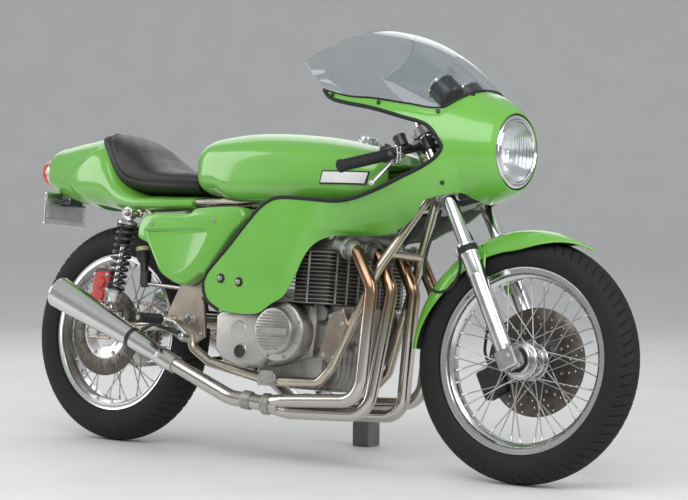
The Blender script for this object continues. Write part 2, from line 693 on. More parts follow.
def make_screen():
    ts = [i / 52 for i in range(53)]
    us = [i / 40 for i in range(41)]
    grids = [[[screen_point(t, u, d) for u in us] for t in ts] for d in (0, 2.6)]
    v, f, _ = seam_free(*both(*sheet_mesh(*grids)))
    piece("screen_bubble", v, f, SCREEN, replaces="windscreen", smooth=50)
    # Polished rolled edge, and the dark gasket between the screen and the fairing
    for name, material, u, drop, r in (("screen_rim", CLEAR_EDGE, 1, 0, 2.4),
                                       ("screen_gasket", RUBBER, 0, 1, 2.6)):
        side = [screen_point(t, u, 1.3) - vec(0, 0, drop) for t in ts]
        path = [vec(p.x, -p.y, p.z) for p in side[:0:-1]] + side
        Build().rings(sweep(path, r, 10)).make(name, material)


# ---------------------------------------------------------------- tank
tank_w = table([(352, 98), (360, 124), (376, 141), (410, 151), (560, 165), (780, 178), (930, 180),
                (1020, 160), (1062, 120)])
tank_low = table([(352, 778), (360, 762), (376, 752), (410, 746), (440, 741), (476, 722), (520, 714),
                  (600, 712), (780, 708), (930, 712), (1020, 726), (1062, 750)])
tank_top = table([(352, 872), (360, 890), (376, 905), (410, 921), (560, 938), (780, 930), (930, 909),
                  (1020, 884), (1062, 850)])


def body_ring(x, w, low, top, n, count):
    """Section across the bike: a rounded oblong, squarer as n grows."""
    return [vec(x, w * signed_power(c, 2 / n), (low + top) / 2 + (top - low) / 2 * signed_power(s, 2 / n))
            for c, s in circle(count)]


def on_flank(x, z, w, low, top, power):
    """Point at x and z on the right of such a section."""
    c, h = (low + top) / 2, (top - low) / 2
    a = signed_power(max(-1, min(1, (z - c) / h)), power)
    return vec(x, -w * max(0, 1 - a * a) ** (0.5 / power), z)


def make_tank():
    xs = [352, 354, 357, 361, 366, 373, 382, 394, 410] + [410 + 8 * i for i in range(1, 78)]
    xs = [x for x in xs if x < 1034] + [1034, 1042, 1050, 1056, 1060, 1062]
    rings = [body_ring(x, tank_w(x), tank_low(x), tank_top(x), 3.2, 120) for x in xs]
    ob = Build().rings(rings).make("tank_shell", PAINT, replaces="fuel_tank", smooth=50)
    tunnel = [(300, 600), (300, 744.9), (520, 744.9), (640, 758.9), (1108, 851), (1108, 600)]
    carve(ob, [prism("tunnel", tunnel, -128, 128)])
    # Bare badge plates in a thin frame
    x0, x1, z0, z1, slant = 866, 1008, 785, 815, 4
    n, m = 26, 8
    out = vec(0.12, -1, 0.12).normalized()
    for name, material, depth, height, e in (("tank_badge_blank", WHITE, -2.2, 3.4, 0),
                                             ("tank_badge_frame", BLACK, -2.6, 2.6, 4)):
        rows = []
        for i in range(n + 1):
            spots = [(lerp(x0 - e, x1 + e, i / n) + slant * (j / m - 0.5) * 2, lerp(z0 - e, z1 + e, j / m))
                     for j in range(m + 1)]
            rows.append([on_flank(x, z, tank_w(x), tank_low(x), tank_top(x), 1.6) for x, z in spots])
        outer, inner = ([[q + out * t for q in row] for row in rows] for t in (height, depth))
        Build().add(*sheet_mesh(outer, inner)[:2]).mirrored().make(name, material)
    # Flip cap: flange with screws, knurled ring, lid with its hinge and latch
    cx = 888
    slope = math.atan((tank_top(cx - 30) - tank_top(cx + 30)) / 60)
    up = vec(sin(slope), 0, cos(slope))
    fw = vec(cos(slope), 0, -sin(slope))
    base = vec(cx, 0, tank_top(cx) + 0.5)
    c = Build()
    c.lathe([(-3, 35), (1.5, 35.5), (3, 34.6), (3.4, 30), (3.4, 29), (9, 28.6), (10.4, 27.4), (11, 26),
             (14, 25.6), (15.6, 24), (16.3, 20), (16.5, 8), (16.3, 0.01)], base, up, 64)
    for k in range(6):
        a = tau * k / 6 + 0.3
        c.screw(base + fw * (32 * cos(a)) + vec(0, 32 * sin(a), 0) + up * 3, up, 1.9, 1.6)
    hinge = base - fw * 30 + up * 10
    c.rod(hinge - vec(0, 11, 0), hinge + vec(0, 11, 0), 4.2, n=20, edge=0.8)
    for s in (-7, 7):
        c.rod(hinge + vec(0, s, -7), hinge + vec(0, s, 0), 3.6, n=14)
    lid = base - fw * 24 + up * 15
    c.rod(lid - vec(0, 6, 0), lid + vec(0, 6, 0), 3.4, n=14)
    c.rod(base + fw * 24 + up * 12, base + fw * 33 + up * 12, 4.5, n=18, edge=1)
    c.make("flip_cap", CHROME, replaces="filler_cap")


# ---------------------------------------------------------------- tail and seat
UNDER_HALF = 78
tail_w = table([(-330, 52), (-300, 66), (-240, 88), (-150, 112), (-60, 126), (60, 134), (200, 136),
                (348, 128)])
tail_low = table([(-330, 770), (-300, 755), (-240, 735), (-150, 716), (-60, 702), (60, 694), (200, 692),
                  (348, 696)])
tail_top = table([(-330, 872), (-300, 892), (-240, 903), (-150, 918), (-60, 926), (-20, 905), (40, 800),
                  (110, 756), (200, 750), (348, 750)])


def make_tail():
    xs = [-330, -328, -324, -318, -310] + [-300 + 6 * i for i in range(108)] + [348]
    rings = []
    for x in xs:
        ring = body_ring(x, tail_w(x), tail_low(x), tail_top(x), 2.6, 128)
        for p in ring:
            # Scoop in the flank: the skin steps out ahead of a V whose point faces back
            if x < 70 and abs(p.y) > 20:
                mid = 796
                reach = (x + 210) * 0.62 if p.z > mid else (x + 210) * 0.95
                inside = fade(reach - abs(p.z - mid), -3, 11) if x > -214 else 0
                side = fade(abs(p.y), tail_w(x) * 0.55, tail_w(x) * 0.8)
                p.y += math.copysign(5.0 * inside * side * (1 - fade(x, -120, 40)), p.y)
                dent = fade(x, -262, -214) * (1 - fade(x, -196, -150)) * (1 - fade(abs(p.z - mid), 0, 60))
                p.y -= math.copysign(3.0 * dent * side * (1 - inside), p.y)
        k = 1.0
        if x < -318:
            k = 1 - 0.06 * fade(-x, 318, 330)
        c = (tail_low(x) + tail_top(x)) / 2
        rings.append([vec(p.x, p.y * k, c + (p.z - c) * k) for p in ring])
    ob = Build().rings(rings).make("tail_shell", PAINT, replaces="tail_unit", smooth=50,
                                   materials=[PAINT_IN])
    under = [(-84, 650), (-84, 757.6), (180, 736.8), (400, 741.6), (400, 650)]
    carve(ob, [prism("under", under, -UNDER_HALF, UNDER_HALF)])
    # Round red lamp: rim, ribbed lens
    o, d = vec(-330.3, 0, 820), vec(-1, 0, 0)
    rim = Build().lathe([(0, 46), (8, 47), (9.5, 47), (11, 46), (11, 43.5)], o, d, 64)
    rim.make("tail_lamp_rim", CHROME)
    prof = [(9, 44.5), (22, 44), (26, 43), (30, 41.5)]
    for i in range(14):
        r = 41 * (1 - i / 14)
        h = 31 + 17 * (1 - (r / 42) ** 2) ** 0.8
        prof += [(h, r), (h + 0.9, r - 1.4)]
    prof.append((48.6, 0.01))
    Build().lathe(prof, o, d, 64).make("tail_lamp_lens", RED_LENS, replaces="tail_light")


seat_w = table([(-62, 92), (-40, 108), (40, 122), (200, 126), (300, 122), (350, 108)])
seat_low = table([(-62, 905), (-40, 872), (0, 800), (40, 762), (100, 752), (200, 751), (350, 752)])
seat_top = table([(-62, 930), (-40, 938), (20, 930), (70, 908), (130, 868), (190, 838), (240, 830),
                  (300, 826), (350, 816)])


# Height of the piping on the seat's flank
seat_seam = table([(-36, 930), (-14, 905), (8, 870), (30, 835), (60, 806), (100, 792), (160, 786),
                   (260, 784), (350, 782)])


def make_seat():
    """Foam pad under leather: it sags where a rider sits, puckers at the piping and has shallow folds."""
    xs = [-50, -49, -47, -44, -40, -36, -32, -28, -24] + [-20 + 4 * i for i in range(91)] + [342, 345, 347]
    rings = []
    for x in xs:
        w, low, top = seat_w(x), seat_low(x), seat_top(x)
        c = (low + top) / 2
        ring = body_ring(x, w, low, top, 2.8, 176)
        seam = seat_seam(max(-36, x))
        out = []
        for p in ring:
            up = (p.z - c) / ((top - low) / 2)
            n = vec(0, signed_power(p.y / w, 1.6), signed_power(up, 1.6)).normalized()
            d = 0.0
            # The leather dips at the piping and swells between
            if x > -30:
                d -= 3.2 * math.exp(-((p.z - seam) / 4.5) ** 2) * (1 - fade(abs(up), 0.93, 1.0))
                d += 2.2 * math.exp(-((p.z - seam - 22) / 16) ** 2)
            # Hollow of the seat and creases where the hump starts
            if up > 0.5:
                d -= 4.0 * math.exp(-((x - 215) / 70) ** 2) * math.exp(-(p.y / 70) ** 2)
                d -= (1.8 * math.exp(-((x - 128 - 0.12 * abs(p.y)) / 5) ** 2)
                      * math.exp(-((abs(p.y) - 52) / 44) ** 2))
                d -= (1.2 * math.exp(-((x - 108 + 0.10 * abs(p.y)) / 4) ** 2)
                      * math.exp(-((abs(p.y) - 66) / 30) ** 2))
            d += 0.7 * sin(x * 0.083 + p.y * 0.051) * sin(p.y * 0.071 + 1.3) * fade(up, -0.2, 0.4)
            out.append(p + n * d)
        k = 1.0 if x < 334 else 1 - 0.05 * fade(x, 334, 347)
        out = [vec(p.x, p.y * k, c + (p.z - c) * k) for p in out]
        rings.append(out)
    ob = Build().rings(rings).make("seat_pad", LEATHER, replaces="seat", smooth=0)
    hollow = [[vec(p.x, p.y * 0.992, p.z + 0.4) for p in body_ring(x, tail_w(x), tail_low(x) - 60,
                                                                   tail_top(x) + 0.6, 2.6, 72)]
              for x in range(-340, 357, 12)]
    carve(ob, [Build().rings(hollow).cutter("seat_base")])
    # Piping along the seam, over the hump and down both flanks
    sink = 2.2
    flank = [on_flank(x, min(seat_seam(x), seat_top(x) - 5), seat_w(x) - sink, seat_low(x) + sink,
                      seat_top(x) - sink, 1.4) for x in range(346, -21, -12)]
    side = smooth_line(flank + [vec(-27, -84, 934)], 3)
    over = [vec(-29 - 3 * sin(pi / 2 * (1 - abs(y) / 84)), y, seat_top(-29) - 0.6 - 4 * (abs(y) / 84) ** 4)
            for y in range(-70, 71, 10)]
    path = side + over + [vec(p.x, -p.y, p.z) for p in side[::-1]]
    Build().rings(sweep(smooth_line(path[::2], 2), 2.4, 10)).make("seat_piping", LEATHER)


# ---------------------------------------------------------------- side panels and number plate


def make_panels():
    outline = [(194, 618), (222, 684), (381, 690), (420, 706), (566, 713), (598, 698), (600, 672),
               (556, 630), (470, 520), (446, 512), (384, 478), (300, 508), (268, 548), (236, 596)]
    line = smooth_line(outline, 4, closed=True)
    recess = smooth_line([(262, 566), (300, 520), (352, 508), (404, 532), (446, 580), (470, 634), (446, 646),
                          (380, 646), (300, 644), (232, 640), (228, 626)], 4, closed=True)
    b = Build().stack(line, [(-150, 0), (-172, 0), (-180, 1.0), (-185, 3.4), (-188, 7), (-189.6, 12)],
                      caps=False)
    n = len(line)
    last = len(b.v) - n
    b.f.append(tuple(range(last, last + n)))
    b.s.append(0)
    b.f.append(tuple(range(n)))
    b.s.append(1)
    b.mirrored()
    ob = b.make("side_panel_shells", PAINT, replaces="side_panels", materials=[PAINT_IN], smooth=30)
    # Stepped recess in the flank
    steps = ((193, -4), (189.8, -1.6), (187.5, 1.5), (184.5, 4.5), (183.8, 8))
    carve(ob, [Build().stack(recess, [(s * y, d) for y, d in steps]).cutter("recess") for s in (-1, 1)])
    # Screws in cups
    cups, screws = Build(), Build()
    for x, z in ((491, 670), (253, 656)):
        cups.lathe([(-1, 10.5), (0.6, 10.5), (1.0, 9.5), (-1.5, 8)], (x, -189.4, z), RIGHT, 28)
        screws.screw((x, -188.5, z), RIGHT, 6.2, 4)
    cups.mirrored().make("panel_cups", PAINT)
    screws.mirrored().make("panel_screws", STEEL)


def make_plate():
    x, y, z0, z1 = -292, 88, 655, 750
    rim = Build()
    # Bent rim round a bare plate
    corners = [(x, -y, z0), (x, y, z0), (x, y, z1), (x, -y, z1)]
    for p, q in zip(corners, corners[1:] + corners[:1]):
        rim.rod(p, q, 3.4, n=14)
    for s in (-1, 1):
        for z in (z0, z1):
            rim.lathe([(-3.4, 3.4), (3.4, 3.4)], (x, s * y, z), FORE, 14)
    # Flat border of the holder, on both faces
    edge = 15
    for lo, hi in (((-y, z0), (y, z0 + edge)), ((-y, z1 - edge), (y, z1)),
                   ((-y, z0 + edge), (edge - y, z1 - edge)), ((y - edge, z0 + edge), (y, z1 - edge))):
        rim.box((x - 0.6, lo[0], lo[1]), (x + 5.6, hi[0], hi[1]), 0.8)
    for k in range(6):
        rim.lathe([(0, 3.4), (1.2, 3.0), (1.2, 0.01)], (x + 5.6, (k - 2.5) * 17, z0 + 7), FORE, 12)
    rim.make("plate_rim", POLISHED)
    Build().box((x + 1, -y + 2, z0 + 2), (x + 4, y - 2, z1 - 2), 1).make("plate_blank", PLATE,
                                                                         replaces="plate_frame")
    screws = Build()
    for s in (-1, 1):
        screws.bolt((x + 1, s * 70, 702.5), AFT, 5.2, 3.6, 2.2)
        for z in (z0 + 11, z1 - 11):
            screws.screw((x + 1, s * 77, z), AFT, 3, 1.8)
    screws.make("plate_screws", STEEL)
    bracket = Build().box((x + 4, -24, 714), (x + 66, 24, 719), 1).box((x + 43, -24, 714), (x + 50, 24, 754),
                                                                       1)
    for s in (-1, 1):
        bracket.rod((x + 5, s * 58, 722), (x + 40, s * 30, 735), 4)
    bracket.make("plate_bracket", BLACK)


# ---------------------------------------------------------------- wheels


def make_tyre(name, place, body, node, w, flange_r, half, pitch):
    """Tyre with slanted tread grooves; its sidewalls are plain but for their moulding ribs.

    Its angles count from the middle of the tread, in degrees, where they are compared.
    """
    mid = WHEEL_R - w
    edge = asin((flange_r + 1 - mid) / w)
    phis = [lerp(edge, pi / 2, i / 30) for i in range(31)]
    side = [(w * cos(p), w * sin(p), pi / 2 - p) for p in phis]
    prof = [(-y, dr, -f) for y, dr, f in side] + [(y, dr, f) for y, dr, f in side[-2::-1]]
    foot = math.degrees(pi / 2 - edge)
    bead = [(flange_r + 1, half + 0.8), (flange_r - 1, half - 0.3), (flange_r - 13.7, half - 0.3)]
    rings = []
    for k, (c, s) in enumerate(circle(12 * pitch)):
        ring = []
        for y, dr, f in prof:
            a = abs(f)
            t = math.degrees(a)
            d = 0.0
            if 13 < t < 66:
                slant = (t - 13) / 53
                phase = (k / 12 + 0.75 * slant ** 1.3 + (0.5 if f < 0 else 0)) % 1
                near = abs(phase - 0.5) * 12
                d -= 3.4 * (1 - fade(near, 0.55, 1.35)) * fade(t, 13, 17) * (1 - fade(t, 58, 66))
            d -= 3.0 * (1 - fade(abs(t - 6.5), 1.0, 2.6))
            d += 0.7 * (1 - fade(abs(t - 71), 0, 2.0)) + 0.9 * (1 - fade(abs(t - foot + 7), 0, 2.2))
            ring.append((mid + (w + d) * sin(pi / 2 - a), math.copysign((w + d) * cos(pi / 2 - a), y)
                         if y else 0))
        ring += bead + [(q, -y) for q, y in bead[::-1]]
        rings.append([vec(q * c, y, q * s) for q, y in ring])
    Build().rings(rings, closed=True).make(name, TYRE, body, place=place, replaces=node, smooth=42)


def turned(b, prof, n=96):
    """Closed ring turned about the wheel's axle, from points of (radius, y)."""
    return b.rings([[vec(r * c, y, r * s) for r, y in prof] for c, s in circle(n)], closed=True)


def bolt_ring(b, n, x, y, z, circle_r, r, h, washer, phase=0.0):
    """Bolts in a circle on a face at y, round an axle at x and z."""
    return b.bolts([(x + circle_r * c, z + circle_r * s) for c, s in circle(n, phase)], y, r, h, washer)


def make_rim(name, place, body, node, flange_r, half):
    seat, o = flange_r - 14, half + 4
    prof = [(flange_r - 2, half), (flange_r, half + 0.8), (flange_r + 0.6, half + 2), (flange_r, o - 0.6),
            (flange_r - 2, o), (flange_r - 5, o - 0.8), (flange_r - 9, o - 1.2), (seat, o - 0.3),
            (seat - 3, o - 0.6), (seat - 5, o - 3), (seat - 7, half - 3), (seat - 8.5, half - 8),
            (seat - 16, 15), (seat - 18, 12.5), (seat - 18.4, 8)]
    prof = prof + [(r, -y) for r, y in prof[::-1]]
    prof += [(seat, -half), (seat, -half + 12), (seat - 12, -9), (seat - 12, 9), (seat, half - 12),
             (seat, half)]
    turned(Build(), prof, 160).make(name, RIM, body, place=place, replaces=node, smooth=28)


def make_spokes(name, place, body, node, hub_r, hub_y, flange_r):
    """Laced spokes with elbows at the hub and nipples at the rim."""
    s, nip = Build(), Build()
    bed = flange_r - 32.6
    for k in range(40):
        side = 1 if k % 2 == 0 else -1
        way = 1 if (k // 2) % 2 == 0 else -1
        a = tau * k / 40
        b = a + way * radians(44)
        p = vec((hub_r - 4) * cos(b), side * (hub_y + way * 3.6), (hub_r - 4) * sin(b))
        q = vec(bed * cos(a), side * (6 + way * 2.2), bed * sin(a))
        d = (q - p).normalized()
        s.rod(p, q - d * 8, 1.75, n=9)
        s.lathe([(-1.6, 0.01), (-1.6, 2.6), (-0.4, 3.4), (0.8, 1.8)], p, vec(0, side * way, 0), 10)
        nip.lathe([(-15, 2.3), (-13.5, 2.9), (-5, 3.1), (-4, 3.8), (-1, 4.2), (1.4, 4.2)], q, d, 10)
    s.make(name, STEEL, body, place=place, replaces=node)
    nip.make(name + "_nipples", POLISHED, body, place=place)


def make_hub(name, place, body, node, flange_r, flange_y, barrel_r, end_y, cup):
    """Turned hub with two flanges; cup is the side of its round end cap, or 0."""
    b = Build()
    half = [(barrel_r, 0), (barrel_r, flange_y - 9), (barrel_r + 3, flange_y - 6.5),
            (flange_r - 2, flange_y - 6), (flange_r, flange_y - 4.5), (flange_r, flange_y + 4.5),
            (flange_r - 2, flange_y + 6), (flange_r - 14, flange_y + 6.4), (barrel_r - 4, flange_y + 8.5),
            (24, flange_y + 12), (21, flange_y + 15), (20, end_y - 2), (18.5, end_y), (10.4, end_y)]
    prof = half + [(r, -y) for r, y in half[::-1]]
    turned(b, prof, 80)
    # Lightening holes' rims in the flanges, and fins round the barrel
    for s in (-1, 1):
        for ca, sa in circle(10, 0.5):
            b.lathe([(-0.5, 4.4), (0.7, 4.4), (0.7, 3.2), (-0.5, 3.0)],
                    ((flange_r - 9) * ca, s * (flange_y + 6), (flange_r - 9) * sa), (0, s, 0), 12)
    for y in (-12, 0, 12):
        turned(b, [(barrel_r - 1, y - 2.2), (barrel_r + 2.4, y - 1.4), (barrel_r + 2.4, y + 1.4),
                   (barrel_r - 1, y + 2.2)], 64)
    if cup:
        s = cup
        ring = [(20, end_y - 14), (41, end_y - 12), (43, end_y - 9), (43, end_y - 1.5), (41, end_y),
                (37, end_y), (35.5, end_y - 1.5), (34, end_y - 8), (26, end_y - 8), (24, end_y - 3),
                (20, end_y - 3)]
        turned(b, [(r, s * y) for r, y in ring], 72)
    b.make(name, POLISHED, body, place=place, replaces=node, smooth=30)


def drilled(b, name, place, body, node, rows, r0, r1, y0, y1):
    """Brake disc with slanting rows of three holes."""
    ob = b.make(name, DISC, body, place=place, replaces=node, smooth=30)
    c = Build()
    for k in range(rows):
        for i in range(3):
            a = tau * (k + 0.22 * i) / rows
            r = lerp(r0, r1, i / 2)
            c.rod((r * cos(a), y0 - 2, r * sin(a)), (r * cos(a), y1 + 2, r * sin(a)), 3.1, n=12)
    carve(ob, [c.cutter("holes", place)])


def make_front_wheel():
    flange = 252.5
    make_tyre("front_tyre_treaded", FRONT, "front_wheel", "front_tyre", TYRE_SECTION, flange, 29, 72)
    make_rim("front_rim_polished", FRONT, "front_wheel", "front_rim", flange, 29)
    make_spokes("front_spokes_laced", FRONT, "front_wheel", "front_spokes", 52, 30, flange)
    make_hub("front_hub_turned", FRONT, "front_wheel", "front_hub", 52, 30, 38, 62, -1)
    d = Build()
    turned(d, [(92, 51.4), (92, 55.6), (93, 56), (147, 56), (148, 55.2), (148, 51.8), (147, 51), (93, 51)],
           120)
    drilled(d, "front_disc_drilled", FRONT, "front_wheel", "front_disc", 18, 104, 140, 51, 56)
    carrier = Build()
    turned(carrier, [(20.4, 44), (30, 43), (60, 47), (70, 51.6), (98, 52), (98, 54.6), (94, 56.4),
                     (74, 56.4), (62, 52), (40, 49.5), (30, 52), (20.4, 53)], 96)
    carrier.make("front_disc_carrier", BLACK, "front_wheel")
    bolts = Build()
    for c, q in circle(8):
        bolts.bolt((86 * c, 56.4, 86 * q), LEFT, 5, 3.4, 1.6)
        bolts.lathe([(0, 5), (2.6, 4.4)], (86 * c, 51, 86 * q), RIGHT, 12)
    bolts.make("front_disc_bolts", STEEL, "front_wheel")
    seal = Build()
    turned(seal, [(22, -55.2), (33.6, -55.2), (33.6, -54), (22, -54)], 48)
    seal.make("front_hub_seal", BLACK, "front_wheel")


def gear(b, teeth, root, tip, y0, y1, bore):
    """Toothed ring: four points a tooth, the two at its tip drawn together."""
    rings = []
    for k in range(teeth * 4):
        r = tip if k % 4 in (0, 1) else root
        a = tau * (k + (0.25, -0.25, 0, 0)[k % 4]) / (teeth * 4)
        rings.append([vec(q * cos(a), y, q * sin(a)) for q, y in ((bore, y0), (r, y0), (r, y1), (bore, y1))])
    return b.rings(rings, closed=True)


def make_rear_wheel():
    flange = 240.5
    make_tyre("rear_tyre_treaded", REAR, "rear_wheel", "rear_tyre", 58, flange, 38, 66)
    make_rim("rear_rim_polished", REAR, "rear_wheel", "rear_rim", flange, 38)
    make_spokes("rear_spokes_laced", REAR, "rear_wheel", "rear_spokes", 60, 36, flange)
    make_hub("rear_hub_turned", REAR, "rear_wheel", "rear_hub", 60, 36, 44, 88, 0)
    d = Build()
    turned(d, [(82, -81.6), (82, -77.4), (83, -77), (134, -77), (135, -77.8), (135, -81.2), (134, -82),
               (83, -82)], 120)
    drilled(d, "rear_disc_drilled", REAR, "rear_wheel", "rear_discs", 15, 94, 127, -82, -77)
    carrier = Build()
    turned(carrier, [(20.4, -70), (54, -70), (62, -76), (88, -76.6), (88, -79), (84, -82.6), (66, -82.8),
                     (56, -77), (40, -76), (30, -82), (20.4, -84)], 96)
    carrier.make("rear_disc_carrier", POLISHED, "rear_wheel")
    bolts = Build()
    for c, q in circle(6):
        bolts.bolt((74 * c, -82.8, 74 * q), RIGHT, 5.5, 3.6, 1.8)
        bolts.bolt((56 * c, 75, 56 * q), LEFT, 5.5, 4, 1.8)
    bolts.make("rear_disc_bolts", STEEL, "rear_wheel")
    g = Build()
    gear(g, 42, 90, 97, 69, 75, 62)
    turned(g, [(19.5, 60), (50, 60), (66, 66), (66, 73), (50, 74), (30, 72), (19.5, 72)], 72)
    g.make("rear_sprocket", STEEL, "rear_wheel")


# ---------------------------------------------------------------- fork


def make_fork():
    chrome, slider, band, steel = Build(), Build(), Build(), Build()
    for s in (-1, 1):
        o, up = vec(FORK_X, s * FORK_W, 0), vec(0, 0, 1)
        chrome.lathe([(SLIDER_TOP, STANCHION), (UPPER_YOKE + 31, STANCHION), (UPPER_YOKE + 32, 18)], o, up,
                     48)
        chrome.lathe([(UPPER_YOKE + 16, 20), (UPPER_YOKE + 24, 20), (UPPER_YOKE + 26, 18.5)], o, up, 48)
        # Slider: collar, long polished body with fine flutes, and the axle's clamp
        top = SLIDER_TOP
        slider.lathe([(top + 33, 20), (top + 34, 22), (top + 33, 26.4), (top + 30, 27), (top + 26, 27),
                      (top + 25, 26.2)], o, up, 64)
        slider.lathe([(top - 58, 24.4), (top - 56, 25.2), (top - 6, 25.4), (top, 26.6), (top + 4, 27),
                      (top + 7, 27), (top + 8, 20)], o, up, 64)
        rings = []
        for z, r, flute in ((AXLE_UP + 24, 23.6, 0), (AXLE_UP + 34, 23.8, 0), (AXLE_UP + 44, 23.9, 0.55),
                            (top - 110, 24, 0.55), (top - 98, 24, 0), (top - 60, 24, 0),
                            (top - 56, 24.2, 0)):
            rings.append([o + up * z + vec(ca, sa, 0) * (r - (flute * (k % 2) if abs(ca) > 0.35 else 0))
                          for k, (ca, sa) in enumerate(circle(64))])
        slider.rings(rings)
        slider.box((FORK_X - 27, s * FORK_W - 22.5, AXLE_UP - 28),
                   (FORK_X + 31, s * FORK_W + 22.5, AXLE_UP + 27), 4)
        slider.box((FORK_X - 20, s * FORK_W - 19, AXLE_UP + 22),
                   (FORK_X + 24, s * FORK_W + 19, AXLE_UP + 38), 5)
        band.lathe([(top + 7, 25.6), (top + 8, 27.8), (top + 13, 28.2), (top + 14, 27.2), (top + 20, 27.2),
                    (top + 21, 28.2), (top + 26, 27.8), (top + 27, 25.6)], o, up, 48)
        # Axle end with its round head, pinch bolts, drain screw
        e = vec(FORK_X + 2, s * (FORK_W + 22.5), AXLE_UP)
        steel.lathe([(-1, 15), (2.4, 15), (3.4, 14), (3.4, 10.5), (2.2, 10), (2.2, 0.01)], e, (0, s, 0), 40)
        for dx in (-17, 21):
            steel.bolt((FORK_X + dx, s * FORK_W, AXLE_UP - 28), DOWN, 5, 5, 1.5)
        steel.screw((FORK_X - 23, s * FORK_W, AXLE_UP + 52), AFT, 4.5, 3)
    chrome.make("fork_stanchions", CHROME, "steering")
    slider.make("fork_sliders", POLISHED, "steering", replaces="fork_legs", smooth=32)
    band.make("fork_seals", RUBBER, "steering")
    steel.rod((FORK_X, -78, AXLE_UP), (FORK_X, 78, AXLE_UP), 9.8, n=32)
    for s in (-1, 1):
        steel.lathe([(0, 15), (7, 15), (14, 12.5), (14.6, 10)], (FORK_X, s * 77, AXLE_UP), (0, -s, 0), 32)
    steel.make("front_axle", STEEL, "steering")
    # Yokes
    b = Build()
    for z, t in ((LOWER_YOKE, 32), (UPPER_YOKE, 28)):
        b.lathe([(-t / 2, 27), (-t / 2 + 2, 29), (t / 2 - 2, 29), (t / 2, 27)], (0, 0, z), UP, 48)
        for s in (-1, 1):
            b.lathe([(-t / 2, 24.5), (-t / 2 + 1.5, 26), (t / 2 - 1.5, 26), (t / 2, 24.5)],
                    (FORK_X, s * FORK_W, z), UP, 40)
            b.box((FORK_X - 38, s * FORK_W - 7, z - t / 2 + 5), (FORK_X - 22, s * FORK_W + 7, z + t / 2 - 5),
                  2)
        pts = [(-26, -18), (-6, -62), (FORK_X - 26, -86), (FORK_X - 12, -112), (FORK_X + 12, -112),
               (FORK_X + 20, -84), (28, -30), (30, 0)]
        h = t / 2 - 5
        b.stack(pts + [(x, -y) for x, y in pts[-2::-1]],
                ((z - h, 2.5), (z - h + 2, 0), (z + h - 2, 0), (z + h, 2.5)), level=True)
    b.lathe([(0, 15), (155, 15)], (0, 0, LOWER_YOKE + 16), UP, 32)
    b.make("yokes_cast", CAST, "steering", replaces="yokes", smooth=30)
    c = Build()
    c.bolt((0, 0, UPPER_YOKE + 14), UP, 17, 11, 3)
    for z in (LOWER_YOKE, UPPER_YOKE):
        for s in (-1, 1):
            c.bolt((FORK_X - 30, s * (FORK_W + 7), z), (0, s, 0), 5, 4, 1.2)
    for s in (-1, 1):
        c.lathe([(0, 17), (5, 17), (6, 15.5), (6, 8), (4.6, 7.6), (4.6, 0.01)],
                (FORK_X, s * FORK_W, UPPER_YOKE + 27), UP, 6)
    c.make("yoke_bolts", CHROME, "steering")


BAR_IN, BAR_OUT = to_steer((1138, -122, 888)), to_steer((1023, -325, 808))
BAR_DIR = (BAR_OUT - BAR_IN).normalized()


